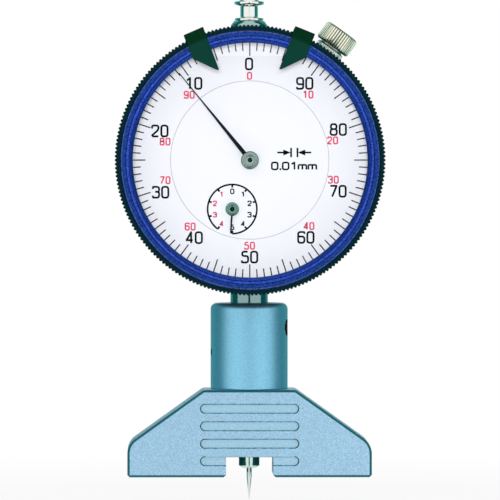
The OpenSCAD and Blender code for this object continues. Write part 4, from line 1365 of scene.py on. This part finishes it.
@dataclass
class Printing:
    """Ink of one colour on a sheet of the dial.

    Attributes:
        face: The depth of the sheet's front.
        thick: The thickness of the ink.
        sunk: How far the ink goes into the sheet, so that it doesn't hang over it.
    """

    face: float
    thick: float = 0.02
    sunk: float = 0.02

    def __post_init__(self) -> None:
        """Starts with a bare sheet."""
        self.bm = bmesh.new()

    def line(self, points: list[Point], width: float, closed: bool = False) -> None:
        """Prints a line along points.

        Args:
            points: The line's middle, right and up from the dial's centre.
            width: Its width.
            closed: True if its end meets its start.
        """
        n = len(points)
        sides: list[tuple[Vector, Vector]] = []
        for i, point in enumerate(points):
            here = Vector(point)
            ways = []
            if closed or i > 0:
                ways.append(here - Vector(points[i - 1]))
            if closed or i < n - 1:
                ways.append(Vector(points[(i + 1) % n]) - here)
            ways = [way.normalized() for way in ways if way.length > SAME_SPOT]
            if not ways:
                continue
            way = sum(ways, Vector((0.0, 0.0))).normalized()
            # At a corner the line grows as a mitre does, up to twice its width
            lean = max(0.5, way.dot(ways[0]))
            off = Vector((-way.y, way.x)) * (width / 2 / lean)
            sides.append((here + off, here - off))
        low, high = self.face - self.thick, self.face + self.sunk
        rows = [
            [self.bm.verts.new((p.x, -p.y, y)) for y in (low, high) for p in pair]
            for pair in sides
        ]
        join_sections(self.bm, rows, closed)

    def head(self, tip: Point, length: float, half: float) -> None:
        """Prints an arrow's head that lies level.

        Args:
            tip: Its tip.
            length: Its length, less than 0 if it points to the right.
            half: Half its width.
        """
        bm = prism(
            [(tip[0], -tip[1]), (tip[0] + length, half - tip[1]),
             (tip[0] + length, -half - tip[1])],
            self.face - self.thick, self.face + self.sunk,
        )
        mesh = bpy.data.meshes.new("head")
        bm.to_mesh(mesh)
        bm.free()
        self.bm.from_mesh(mesh)
        bpy.data.meshes.remove(mesh)

    def number(self, text: str, centre: Point, size: Lettering) -> None:
        """Prints an upright number.

        Args:
            text: The number.
            centre: Its middle, right and up from the dial's centre.
            size: The size of its signs.
        """
        tall = size.height - size.pen
        gap = size.pen * size.gap
        widths = [ADVANCE.get(sign, WIDTH) * tall * size.wide for sign in text]
        x = centre[0] - (sum(widths) + gap * (len(text) - 1)) / 2
        for sign, width in zip(text, widths):
            for stroke in NUMERALS[sign]:
                spots = [
                    (x + u * tall * size.wide, centre[1] - tall / 2 + v * tall)
                    for u, v in stroke.points()
                ]
                self.line(spots, size.pen, stroke.closed)
            x += width + gap

    def arc(self, centre: Point, radius: float, start: float, end: float, width: float) -> None:
        """Prints an arc.

        Args:
            centre: Its middle, right and up from the dial's centre.
            radius: Its radius.
            start: Its first angle, in degrees clockwise from the top.
            end: Its last angle.
            width: Its width.
        """
        steps = int(abs(end - start) / ARC_STEP)
        turn = end - start
        spots = [on_circle(radius, start + turn * k / steps, centre) for k in range(steps + 1)]
        self.line(spots, width)

    def mesh(self) -> bpy.types.Mesh:
        """Gives the ink as one mesh."""
        return closed_mesh(self.bm, Axis.DIAL.matrix)


def on_circle(radius: float, degrees: float, centre: Point = (0.0, 0.0)) -> Point:
    """Gives a point on a circle round a centre, at an angle clockwise from the top."""
    a = math.radians(degrees)
    return centre[0] + radius * math.sin(a), centre[1] + radius * math.cos(a)


@dataclass(frozen=True)
class DivisionSign:
    """The sign of one division: two bars, and from each side an arrow that points at them.

    Attributes:
        centre: Its middle, right and up from the dial's centre.
        gap: Half the distance of the bars.
        bar: The heights of a bar's ends.
        bar_pen: The width of a bar.
        shaft: Where an arrow's shaft starts and ends, out from its bar.
        shaft_pen: The width of a shaft.
        tip: Where an arrow's tip lies, out from its bar.
        head: The length of an arrow's head, and half its width.
    """

    centre: Point = (9.4, 1.59)
    gap: float = 0.67
    bar: Pair = (0.6, 2.58)
    bar_pen: float = 0.38
    shaft: Pair = (1.0, 2.92)
    shaft_pen: float = 0.36
    tip: float = 0.05
    head: Pair = (1.6, 0.62)

    def draw(self, ink: Printing) -> None:
        """Prints the sign.

        Args:
            ink: The ink that takes it.
        """
        y = self.centre[1]
        length, half = self.head
        for side in (-1, 1):
            x = self.centre[0] + side * self.gap
            ink.line([(x, end) for end in self.bar], self.bar_pen)
            ink.line([(x + side * out, y) for out in self.shaft], self.shaft_pen)
            ink.head((x + side * self.tip, y), side * length, half)


@dataclass
class DialFace:
    """The turning scale and the fixed dial, with their printing.

    Attributes:
        scale_face: The depth of the scale's front.
        scale_rear: The depth of its rear.
        scale_r: Its inner and outer radius.
        scale_soft: The width of the chamfer at its inner edge.
        dial_face: The depth of the fixed dial's front.
        groups: The number of times that five divisions repeat round the scale.
        line_pen: The width of a division's line.
        line_r: Where a long line starts, where a short one does, and where both end.
        black: The middles of the black numbers, right and up from the dial's centre.
        red: The middles of the red numbers.
        black_size: The size of the black numbers.
        red_size: The size of the red numbers.
        unit: The unit's signs, and how far to the right of the dial's centre each stands.
        unit_y: The height of the unit's middle.
        unit_size: The size of its signs.
        small_r: The radius of the small dial's circle.
        small_pen: The width of that circle.
        tick_r: Where a line of the small dial starts, inwards from the circle.
        tick_pen: The width of such a line.
        figure_r: The distance of its numbers, and of its nought, from its centre.
        small_size: The size of its numbers.
    """

    scale_face: float = -9.3
    scale_rear: float = -8.9
    scale_r: Pair = (16.76, 25.3)
    scale_soft: float = 0.02
    dial_face: float = -9.2
    groups: int = 20
    line_pen: float = 0.25
    line_r: Triple = (22.05, 23.1, 24.86)
    black: dict[str, Point] = field(
        default_factory=lambda: {
            "0": (-0.16, 20.3), "10": (-11.85, 16.2), "20": (-19.0, 6.15),
            "30": (-18.85, -6.8), "40": (-11.75, -16.4), "50": (-0.05, -20.5),
            "60": (11.85, -16.35), "70": (18.65, -6.6), "80": (18.7, 6.45),
            "90": (11.6, 16.2),
        }
    )
    red: dict[str, Point] = field(
        default_factory=lambda: {
            "0": (-0.05, 17.8), "90": (-12.8, 13.8), "80": (-17.9, 3.9), "70": (-17.9, -4.25),
            "60": (-12.6, -14.05), "50": (-0.05, -18.1), "40": (12.5, -13.95),
            "30": (17.65, -4.15), "20": (17.5, 4.15), "10": (12.3, 13.85),
        }
    )
    black_size: Lettering = Lettering(2.7, 0.41, 0.93)
    red_size: Lettering = Lettering(1.7, 0.3, 0.9)
    unit: tuple[tuple[str, float], ...] = (
        ("0", 5.28), (".", 6.49), ("0", 7.58), ("1", 9.26), ("m", 11.28), ("m", 13.38),
    )
    unit_y: float = -1.25
    unit_size: Lettering = Lettering(1.84, 0.36, 1.35)
    small_r: float = 5.2
    small_pen: float = 0.37
    tick_r: float = 4.55
    tick_pen: float = 0.42
    figure_r: Pair = (3.85, 3.75)
    small_size: Lettering = Lettering(1.2, 0.26, 1.1)

    def division(self) -> bmesh.types.BMesh:
        """Draws five divisions of the scale: one long line and four short ones.

        Returns:
            The lines, about the dial's axis.
        """
        sheet = Printing(self.scale_face)
        long, short, outer = self.line_r
        each = 360 / self.groups / 5
        for k in range(5):
            ends = [on_circle(r, each * k) for r in (short if k else long, outer)]
            sheet.line(ends, self.line_pen)
        bmesh.ops.recalc_face_normals(sheet.bm, faces=sheet.bm.faces)
        return sheet.bm

    def small_dial(self, black: Printing, red: Printing) -> None:
        """Prints the small dial: ten divisions, of which four are numbered in red.

        Args:
            black: The fixed dial's black ink.
            red: Its red ink.
        """
        marks = {k: 36 * k for k in range(-4, 6)}
        black.arc(SMALL_DIAL, self.small_r, marks[-4], marks[5], self.small_pen)
        for angle in marks.values():
            ends = [on_circle(r, angle, SMALL_DIAL) for r in (self.tick_r, self.small_r)]
            black.line(ends, self.tick_pen)
        usual, nought = self.figure_r
        for k, angle in marks.items():
            ink = black if k >= 0 else red
            spot = on_circle(usual if k else nought, angle, SMALL_DIAL)
            ink.number(str(abs(k)), spot, self.small_size)

    def build(self) -> None:
        """Makes the scale's ring and prints both sheets."""
        inner, outer = self.scale_r
        front, rear, soft = self.scale_face, self.scale_rear, self.scale_soft
        rim = [
            (inner, front + soft), (inner + soft, front), (outer, front), (outer, rear),
            (inner, rear),
        ]
        finished_piece(
            "scale_sheet", lathed(rim, Axis.DIAL, segments=192, ring=True), DIAL_ENAMEL,
            Body.BEZEL, ("scale_ring",),
        )
        dress_nodes(DIAL_ENAMEL, "inner_dial")
        lines = RoundRepeat(self.groups).mesh(self.division(), BLACK_INK, Axis.DIAL)
        finished_piece("scale_lines", lines, BLACK_INK, Body.BEZEL)
        numbers, reds = Printing(self.scale_face), Printing(self.scale_face)
        for text, spot in self.black.items():
            numbers.number(text, spot, self.black_size)
        for text, spot in self.red.items():
            reds.number(text, spot, self.red_size)
        finished_piece("scale_numbers", numbers.mesh(), BLACK_INK, Body.BEZEL)
        finished_piece("scale_red_numbers", reds.mesh(), RED_INK, Body.BEZEL)
        black, red = Printing(self.dial_face), Printing(self.dial_face)
        self.small_dial(black, red)
        for sign, right in self.unit:
            black.number(sign, (right, self.unit_y), self.unit_size)
        DivisionSign().draw(black)
        finished_piece("dial_print", black.mesh(), BLACK_INK, Body.GAUGE)
        finished_piece("dial_red_print", red.mesh(), RED_INK, Body.GAUGE)


# A boss's section, each point by its depth behind the boss's front
ARBOR_END = (  # the arbor's end in its hole, by distance from the axis
    (0.0, 0.02), (0.2, 0.04), (0.24, 0.28), (0.48, 0.28), (0.52, 0.04), (0.6, 0.0),
)
BOSS_RIM = (  # the boss's edge, by distance in from its radius
    (0.12, 0.0), (0.03, 0.04), (0.0, 0.13), (0.0, 0.6), (0.1, 0.7),
)
BOSS_REAR = ((0.52, 0.7), (0.5, 0.69), (0.0, 0.69))  # its rear, by distance from the axis


@dataclass
class Hand:
    """A hand with a turned boss.

    Attributes:
        name: What the hand is called.
        axis: The axis that it turns about.
        body: The body that it rides on.
        node: The CAD node that it stands for.
        reading: Its angle at rest, in degrees clockwise from the top.
        reach: The distance of its tip.
        widths: Its width at its axis, and where its taper ends.
        taper: How far out the taper ends.
        boss_r: The radius of its boss.
        front: The depth of its boss's front.
        finish: The boss's finish.
        blade: Where the blade's front and rear lie behind the boss's front.
        point: The width of the blade's tip, as a share of its width where the taper ends.
    """

    name: str
    axis: Axis
    body: Body
    node: str
    reading: float
    reach: float
    widths: Pair
    taper: float
    boss_r: float
    front: float
    finish: Finish
    blade: Pair = (0.35, 0.55)
    point: float = 0.6

    def build(self) -> None:
        """Draws the blade, and turns the boss with the hole of its arbor."""
        wide, tip = (w / 2 for w in self.widths)
        end = tip * self.point
        outline = [
            (-wide, 0.0), (wide, 0.0), (tip, self.taper), (end, self.reach),
            (-end, self.reach), (-tip, self.taper),
        ]
        turn = math.radians(self.reading)
        turned = [
            (x * math.cos(turn) + y * math.sin(turn), x * math.sin(turn) - y * math.cos(turn))
            for x, y in outline
        ]
        blade = prism(turned, *(self.front + deep for deep in self.blade))
        finished_piece(
            f"{self.name}_blade", closed_mesh(blade, self.axis.matrix), HAND_LACQUER, self.body,
            (self.node,),
        )
        profile = [
            *((r, self.front + deep) for r, deep in ARBOR_END),
            *((self.boss_r - less, self.front + deep) for less, deep in BOSS_RIM),
            *((r, self.front + deep) for r, deep in BOSS_REAR),
        ]
        finished_piece(
            f"{self.name}_boss", lathed(profile, self.axis, segments=64), self.finish,
            self.body,
        )


@dataclass
class LimitHand:
    """A limit hand: a strip that is bent over the bezel and hooks behind it.

    Attributes:
        name: What the hand is called.
        body: The body that it rides on.
        node: The CAD node that it stands for.
        angle: The dial angle of its reading edge, clockwise from the top.
        side: -1 if the strip lies anticlockwise of that edge, or 1.
        lean: How much steeper than a radius the reading edge lies, in degrees.
        lean_r: The distance from the dial's centre at which it crosses that radius.
        wide: The strip's width.
        thick: Its thickness.
        soft: The width of the rounding of its edges.
        tip_r: Where the pointer starts, as a distance from the dial's centre.
        front: The depth of the strip's middle in front of the dial.
        rim_r: The rim's radius, round which the strip is bent.
        fall: How far the strip turns back before the bend, in degrees.
        bend: The radius of its bends.
        bend_r: The distance of the bends' middles from the dial's centre.
        bend_y: The depth of the front bend's middle.
        hook_y: The depth of the rear bend's middle.
        hook_r: Where the hook behind the rim ends.
    """

    name: str
    body: Body
    node: str
    angle: float
    side: int
    lean: float
    lean_r: float = 20.2
    wide: float = 4.4
    thick: float = 0.5
    soft: float = 0.07
    tip_r: float = 20.1
    front: float = -16.7
    rim_r: float = 28.5
    fall: float = 9.0
    bend: float = 0.45
    bend_r: float = 28.9
    bend_y: float = -16.03
    hook_y: float = -8.1
    hook_r: float = 28.06

    def bent(self, y: float, start: float, end: float, steps: int) -> list[Section]:
        """Gives the sections of a bend.

        Args:
            y: The depth of its middle.
            start: The direction of the outer side before it, in degrees.
            end: The direction after it.
            steps: The number of sections.

        Returns:
            The sections, without one at the start.
        """
        made = []
        for k in range(1, steps + 1):
            way = start + (end - start) * k / steps
            a = math.radians(way)
            out, deep = self.bend * math.sin(a), self.bend * math.cos(a)
            made.append((self.bend_r + out, y - deep, way, self.wide))
        return made

    def sections(self) -> list[Section]:
        """Gives the strip's sections from the pointer's tip to the hook.

        Returns:
            For each section: its distance from the dial's centre, its depth, the direction of
            its outer side (an angle from the front towards the outside) and its width from the
            reading edge.
        """
        return [
            # The pointer, from its blunt tip to the strip's full width
            (self.tip_r, self.front, 0.0, 0.25),
            (self.tip_r + 0.12, self.front, 0.0, 0.5),
            (self.tip_r + 4.0, self.front, 0.0, self.wide),
            # The strip over the band and the rim, which starts to turn back
            (27.2, self.front, 0.0, self.wide),
            (27.5, self.front + 0.02, 5.0, self.wide),
            (28.75, self.front + 0.2, self.fall, self.wide),
            *self.bent(self.bend_y, self.fall, 90.0, 5),
            (self.bend_r + self.bend, self.hook_y, 90.0, self.wide),
            *self.bent(self.hook_y, 90.0, 180.0, 4),
            (self.hook_r, self.hook_y + self.bend, 180.0, self.wide),
        ]

    def build(self) -> None:
        """Sweeps the strip through its sections and gives it thickness."""
        bm = bmesh.new()
        rows = []
        slope = math.tan(math.radians(self.lean))
        middle = self.wide / 2
        for r, y, way, wide in self.sections():
            a, aside = math.radians(way), slope * (r - self.lean_r)
            out = Vector((0.0, math.sin(a), -math.cos(a)))
            row = []
            for x in (0.0, wide):
                # The bend lies square to the radius through the strip's middle
                square = (middle - x) * middle / self.rim_r if r > self.rim_r - 1 else 0.0
                spot = Vector((self.side * (x + aside), r + square, y))
                for half in (0.5, -0.5):
                    row.append(bm.verts.new(spot + out * half * self.thick))
            rows.append(row)
        join_sections(bm, rows)
        bmesh.ops.recalc_face_normals(bm, faces=bm.faces)
        rounded_edges(bm, self.soft, least=50)
        # The strip is drawn upwards, and y of the dial's axis goes down
        flip = Matrix(((1, 0, 0, 0), (0, -1, 0, 0), (0, 0, 1, 0), (0, 0, 0, 1)))
        turn = Matrix.Rotation(math.radians(self.angle), 4, "Z")
        mesh = closed_mesh(bm, Axis.DIAL.matrix @ turn @ flip)
        finished_piece(self.name, mesh, LIMIT_LACQUER_BEND_SHADE, self.body, (self.node,))


@dataclass
class ClampKnob:
    """The knurled knob of the bezel's clamp screw, with its collar.

    Attributes:
        ribs: The number of ribs of knob and collar.
        knob_r: The knob's radius.
        start: Where it starts along the screw's axis, from the dial's centre.
        end: Where it ends.
        rib: The depth of its ribs.
        crest: Half of a rib's crest, as a share of the pitch.
        valley: Half of a rib's foot, as the same share.
        foot: Points of the knob's inner edge: in from its radius, out from its start, and how
            much of the ribs' depth applies there, from 0 to 1.
        crown: Points of its outer edge: in from its radius, back from its end, and the same.
        collar: The section of shank and collar: radius, place along the axis, and the same.
        collar_rib: The depth of the collar's ribs.
        collar_crest: Half of such a rib's crest, as a share of the pitch.
    """

    ribs: int = 42
    knob_r: float = 3.93
    start: float = 29.7
    end: float = 33.76
    rib: float = 0.23
    crest: float = 0.22
    valley: float = 0.42
    foot: tuple[Triple, ...] = (
        (0.45, 0.0, 0.3), (0.08, 0.28, 1.0), (0.0, 0.5, 1.0),
    )
    crown: tuple[Triple, ...] = (
        (0.0, 0.6, 1.0), (0.1, 0.3, 1.0), (0.55, 0.04, 0.2), (0.75, 0.0, 0.0),
    )
    collar: tuple[Triple, ...] = (
        (0.0, 23.7, 0.0), (1.25, 23.7, 0.0), (1.25, 27.45, 0.0), (2.95, 27.45, 0.0),
        (3.15, 27.65, 1.0), (3.15, 29.2, 1.0), (2.95, 29.4, 0.5), (2.6, 29.5, 0.0),
        (2.6, 29.72, 0.0), (0.0, 29.72, 0.0),
    )
    collar_rib: float = 0.12
    collar_crest: float = 0.2

    def build(self) -> None:
        """Cuts the knob's and the collar's ribs and turns the shank."""
        knob = [
            (0.0, self.start, 0.0),
            *((self.knob_r - less, self.start + out, part) for less, out, part in self.foot),
            *((self.knob_r - less, self.end - back, part) for less, back, part in self.crown),
            (0.0, self.end, 0.0),
        ]
        across = [
            (-0.5, self.rib), (-self.valley, self.rib), (-self.crest, 0.0), (self.crest, 0.0),
            (self.valley, self.rib), (0.5, self.rib),
        ]
        low = [
            (-0.5, self.collar_rib), (-self.collar_crest, 0.0), (self.collar_crest, 0.0),
            (0.5, self.collar_rib),
        ]
        for name, profile, ribs, finish, nodes in (
            ("clamp_knob", knob, across, KNOB_NICKEL_VALLEY_SHADE, ("clamp_screw",)),
            ("clamp_collar", self.collar, low, COLLAR_NICKEL_VALLEY_SHADE, ()),
        ):
            sector = toothed_sector(profile, self.ribs, ribs, ring=False)
            mesh = RoundRepeat(self.ribs).mesh(sector, finish, Axis.CLAMP)
            finished_piece(name, mesh, finish, Body.CLAMP, nodes, crease=28)


@dataclass
class SpindleGroup:
    """The spindle and what it carries, and the spring that pulls it down.

    Attributes:
        coils: The number of the spring's turns.
        coil_r: Their radius, at the wire's middle.
        wire_r: The wire's radius.
        turn_steps: The number of straight lengths in a turn.
        wire_sides: The number of the wire's sides.
        x: How far to the right of the spindle the spring stands.
        low: The height of its lower end, which is fixed.
        high: The height of its upper end, which moves with the spindle.
    """

    coils: int = 19
    coil_r: float = 1.1
    wire_r: float = 0.15
    turn_steps: int = 20
    wire_sides: int = 8
    x: float = 7.6
    low: float = 45.35
    high: float = 59.45

    def spring_tree(self) -> bpy.types.NodeTree:
        """Builds the tree that sweeps a wire along a helix.

        Returns:
            The tree, with inputs named Coils, Radius, Height, Wire and Finish.
        """
        tree = bpy.data.node_groups.new("wound spring", "GeometryNodeTree")
        for name in ("Coils", "Radius", "Height", "Wire"):
            tree.interface.new_socket(name, in_out="INPUT", socket_type="NodeSocketFloat")
        tree.interface.new_socket("Finish", in_out="INPUT", socket_type="NodeSocketMaterial")
        tree.interface.new_socket("Geometry", in_out="OUTPUT", socket_type="NodeSocketGeometry")
        given = add_node(tree, "NodeGroupInput").outputs
        helix = add_node(
            tree,
            "GeometryNodeCurveSpiral",
            {
                "Resolution": self.turn_steps, "Rotations": given["Coils"],
                "Start Radius": given["Radius"], "End Radius": given["Radius"],
                "Height": given["Height"],
            },
        )
        wire = add_node(
            tree,
            "GeometryNodeCurvePrimitiveCircle",
            {"Resolution": self.wire_sides, "Radius": given["Wire"]},
        )
        tube = add_node(
            tree,
            "GeometryNodeCurveToMesh",
            {"Curve": helix.outputs[0], "Profile Curve": wire.outputs[0], "Fill Caps": True},
        )
        real = add_node(tree, "GeometryNodeRealizeInstances", {0: tube.outputs[0]})
        done = add_node(
            tree,
            "GeometryNodeSetMaterial",
            {"Geometry": real.outputs[0], "Material": given["Finish"]},
        )
        add_node(tree, "NodeGroupOutput", {0: done.outputs[0]})
        return tree

    def build(self) -> None:
        """Winds the return spring and dresses the spindle's pieces."""
        mesh = evaluated(
            self.spring_tree(),
            {
                "Coils": float(self.coils), "Radius": self.coil_r * MM,
                "Height": (self.high - self.low) * MM, "Wire": self.wire_r * MM,
                "Finish": SPRING_STEEL.build(),
            },
            Matrix.Translation((self.x * MM, 0, self.low * MM)),
        )
        spring = finished_piece(
            "wound_return_spring", mesh, SPRING_STEEL, None,
            ("return_spring",), crease=60,
        )
        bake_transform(spring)
        dress_nodes(GROUND_STEEL, "spindle")
        dress_nodes(POLISHED_STEEL, "guide_pin")
        for node, name, finish in (
            ("lifting_cap", "cap_spool", POLISHED_STEEL),
            ("contact_holder", "needle_holder", HOLDER_STEEL),
            ("contact_needle", "measuring_needle", NEEDLE_STEEL),
        ):
            smoothed_node(node, name, finish, Body.SPINDLE)


class Movement:
    """The gear train and its plates, inside the case."""

    def build(self) -> None:
        """Dresses the movement's CAD nodes."""
        dress_nodes(
            GEAR_BRASS, "movement_plate", "pinion_bridge", "guide_plate", "rack_pinion",
            "drive_wheel", "centre_pinion", "takeup_wheel",
        )
        dress_nodes(BEARING_BRONZE, "pivot_bushes")
        dress_nodes(SPRING_STEEL, "hairspring", "spring_anchor")
        dress_nodes(SCREW_STEEL, "takeup_arbor", "hairspring_stud")


# ---------------------------------------------------------------- studio


@dataclass(frozen=True)
class Card:
    """A curved card that shows in metal and glass alone. Its sizes are in metres.

    Attributes:
        name: Its name.
        colour: The sRGB colour that it glows in.
        start: The azimuth at which it starts, in degrees from the camera's side to the right.
        end: The azimuth at which it ends.
        foot: Where it starts along the floor, from the middle.
        radius: Where it stands up.
        top: Its height.
        steps: The number of its flat lengths.
    """

    name: str
    colour: str
    start: float
    end: float
    foot: float = 0.01
    radius: float = 0.5
    top: float = 1.5
    steps: int = 10


@dataclass(frozen=True)
class Lamp:
    """A soft square lamp that no mirror shows, aimed at the gauge's middle.

    Attributes:
        name: Its name.
        place: Where it hangs, in metres.
        size: The length of its side in metres.
        power: Its power in watts.
    """

    name: str
    place: Triple
    size: float
    power: float


CARDS = (
    Card("card_right", "#0F7377", 75, 122),
    Card("card_left", "#0F7377", -122, -75),
    Card("card_rear_right", "#6FAEA4", 122, 168),
    Card("card_rear_left", "#6FAEA4", -168, -122),
    Card("card_camera", "#0C4A46", -6, 6, foot=0.04, radius=1.7, top=0.11),
)
LAMPS = (
    Lamp("front", (-0.04, -1.6, 0.13), 0.36, 21.8),
    Lamp("above", (-0.3, -0.7, 1.0), 0.8, 0.8),
    Lamp("back", (0.25, 0.9, 0.6), 0.7, 3.0),
)


@dataclass
class Studio:
    """Camera, floor, lamps, and the cards that give metal its dark and green bands.

    Its sizes are in metres.

    Attributes:
        distance: How far in front of the focus the camera stands.
        aside: How far to the right of it.
        rise: How far above it.
        focus: The point that the camera looks at.
        view_width: The width of what it sees there.
        sensor: The width of its sensor, in millimetres.
        floor_z: The height of the floor, under the needle's tip.
        floor_half: Half the floor's side.
        fade: The distances from the origin between which the floor turns from grey to white.
        ambient: The world's strength for the light that it gives.
        lamp_aim: The point that the lamps are turned to.
    """

    distance: float = 1.39
    aside: float = -0.02
    rise: float = 0.0238
    focus: Triple = (0.00004, -0.01, 0.0482)
    view_width: float = 0.10565
    sensor: float = 36.0
    floor_z: float = -0.0052
    floor_half: float = 3.0
    fade: Pair = (0.06, 0.2)
    ambient: float = 0.34
    lamp_aim: Triple = (0.0, 0.0, 0.05)

    def camera(self) -> None:
        """Sets up the long lens, a little above the gauge's middle as in the photograph."""
        aim = Vector(self.focus)
        place = aim + Vector((self.aside, -self.distance, self.rise))
        lens = bpy.data.cameras.new("camera")
        lens.sensor_width = self.sensor
        lens.lens = self.sensor * (aim - place).length / self.view_width
        eye = added("camera", lens)
        eye.location = place
        eye.rotation_euler = (aim - place).to_track_quat("-Z", "Y").to_euler()
        bpy.context.scene.camera = eye

    def sheet(
        self, name: str, bm: bmesh.types.BMesh, material: bpy.types.Material
    ) -> bpy.types.Object:
        """Adds a sheet that isn't part of the object.

        Args:
            name: Its name.
            bm: Its shape in metres; it is freed.
            material: Its material.

        Returns:
            The sheet.
        """
        mesh = bpy.data.meshes.new(name)
        bm.to_mesh(mesh)
        bm.free()
        mesh.materials.append(material)
        sheet = added(name, mesh)
        return sheet

    @staticmethod
    def seen(tree: bpy.types.NodeTree) -> bpy.types.NodeSocket:
        """Tells the rays that the eye follows from those that light the object.

        Args:
            tree: The node tree that asks.

        Returns:
            1 for a ray from the camera, a mirror or glass, or 0.
        """
        path = add_node(tree, "ShaderNodeLightPath").outputs
        seen = path["Is Camera Ray"]
        for ray in ("Is Glossy Ray", "Is Transmission Ray"):
            seen = add_node(
                tree, "ShaderNodeMath", {0: seen, 1: path[ray]}, operation="MAXIMUM"
            ).outputs[0]
        return seen

    def floor(self) -> None:
        """Lays a pale floor that stays white in the view and keeps the shadow near the object."""
        material = blank_material("studio floor")
        tree = material.node_tree
        point = add_node(tree, "ShaderNodeTexCoord").outputs["Object"]
        away = add_node(tree, "ShaderNodeVectorMath", {0: point}, operation="LENGTH")
        near = add_node(
            tree,
            "ShaderNodeMapRange",
            {
                "Value": away.outputs["Value"], "From Min": self.fade[0],
                "From Max": self.fade[1], "To Min": 0.9, "To Max": 1.0,
            },
        )
        share = add_node(
            tree, "ShaderNodeMath", {0: self.seen(tree), 1: near.outputs[0]},
            operation="MULTIPLY",
        )
        matt = add_node(tree, "ShaderNodeBsdfDiffuse", {"Color": linear("#F2F2F2")})
        white = add_node(tree, "ShaderNodeEmission", {"Color": (1, 1, 1, 1), "Strength": 1.0})
        mixed = add_node(
            tree,
            "ShaderNodeMixShader",
            {0: share.outputs[0], 1: matt.outputs[0], 2: white.outputs[0]},
        )
        add_node(tree, "ShaderNodeOutputMaterial", {"Surface": mixed.outputs[0]})
        bm = bmesh.new()
        half = self.floor_half
        corners = ((-half, -half), (half, -half), (half, half), (-half, half))
        bm.faces.new([bm.verts.new((x, y, self.floor_z)) for x, y in corners])
        self.sheet("floor", bm, material)

    def card(self, card: Card) -> None:
        """Stands a curved card round the object, out of sight of all but metal and glass.

        Args:
            card: The card.
        """
        material = blank_material(card.name)
        tree = material.node_tree
        glow = add_node(tree, "ShaderNodeEmission", {"Color": linear(card.colour)})
        add_node(tree, "ShaderNodeOutputMaterial", {"Surface": glow.outputs[0]})
        bm = bmesh.new()
        posts, lying = [], self.floor_z + 0.0002  # just over the floor
        corners = ((card.foot, lying), (card.radius, lying), (card.radius, card.top))
        for k in range(card.steps + 1):
            a = math.radians(card.start + (card.end - card.start) * k / card.steps)
            right, front = math.sin(a), math.cos(a)
            posts.append([bm.verts.new((r * right, -r * front, z)) for r, z in corners])
        for near, far in zip(posts, posts[1:]):
            for low, high in ((0, 1), (1, 2)):
                bm.faces.new((near[low], far[low], far[high], near[high]))
        sheet = self.sheet(card.name, bm, material)
        sheet.visible_camera = False
        sheet.visible_shadow = False
        sheet.visible_diffuse = False

    def lamp(self, lamp: Lamp) -> None:
        """Hangs a lamp.

        Args:
            lamp: The lamp.
        """
        light = bpy.data.lights.new(lamp.name, "AREA")
        light.shape = "SQUARE"
        light.size = lamp.size
        light.energy = lamp.power
        hung = added(lamp.name, light)
        hung.location = lamp.place
        way = Vector(self.lamp_aim) - Vector(lamp.place)
        hung.rotation_euler = way.to_track_quat("-Z", "Y").to_euler()
        hung.visible_glossy = False
        hung.visible_transmission = False

    def world(self) -> None:
        """Surrounds the object with white that lights it softly."""
        world = bpy.data.worlds.new("studio")
        bpy.context.scene.world = world
        world.use_nodes = True
        tree = world.node_tree
        tree.nodes.clear()
        strength = add_node(
            tree,
            "ShaderNodeMapRange",
            {"Value": self.seen(tree), "To Min": self.ambient, "To Max": 1.0},
        )
        light = add_node(
            tree,
            "ShaderNodeBackground",
            {"Color": (1, 1, 1, 1), "Strength": strength.outputs[0]},
        )
        add_node(tree, "ShaderNodeOutputWorld", {"Surface": light.outputs[0]})

    def build(self) -> None:
        """Sets the whole studio up."""
        self.camera()
        self.floor()
        for card in CARDS:
            self.card(card)
        for lamp in LAMPS:
            self.lamp(lamp)
        self.world()
        bpy.context.scene.view_settings.view_transform = "Standard"


def main() -> None:
    """Builds the studio and every sub-assembly in order."""
    logging.basicConfig(level=logging.INFO, format="%(message)s", stream=sys.stdout)
    Studio().build()
    BaseAndSleeve().build()
    DialCase().build()
    Bezel().build()
    DialFace().build()
    Hand(
        "main_hand", Axis.DIAL, Body.CENTRE, "main_pointer", reading=-39.1, reach=23.7,
        widths=(1.0, 0.26), taper=16.6, boss_r=1.87, front=-11.2, finish=BOSS_NICKEL_PAINTED_SHADING,
    ).build()
    Hand(
        "small_hand", Axis.SMALL_DIAL, Body.COUNTER, "small_pointer", reading=183.9, reach=5.2,
        widths=(0.4, 0.34), taper=4.5, boss_r=1.44, front=-10.2, finish=BOSS_GREY_PAINTED_SHADE,
    ).build()
    LimitHand(
        "limit_hand_of_left", Body.LIMIT_LEFT, "limit_hand_left", angle=-19.0, side=-1, lean=1.5,
    ).build()
    LimitHand(
        "limit_hand_of_right", Body.LIMIT_RIGHT, "limit_hand_right", angle=17.6, side=1,
        lean=3.6,
    ).build()
    ClampKnob().build()
    SpindleGroup().build()
    Movement().build()


if __name__ == "__main__":
    main()
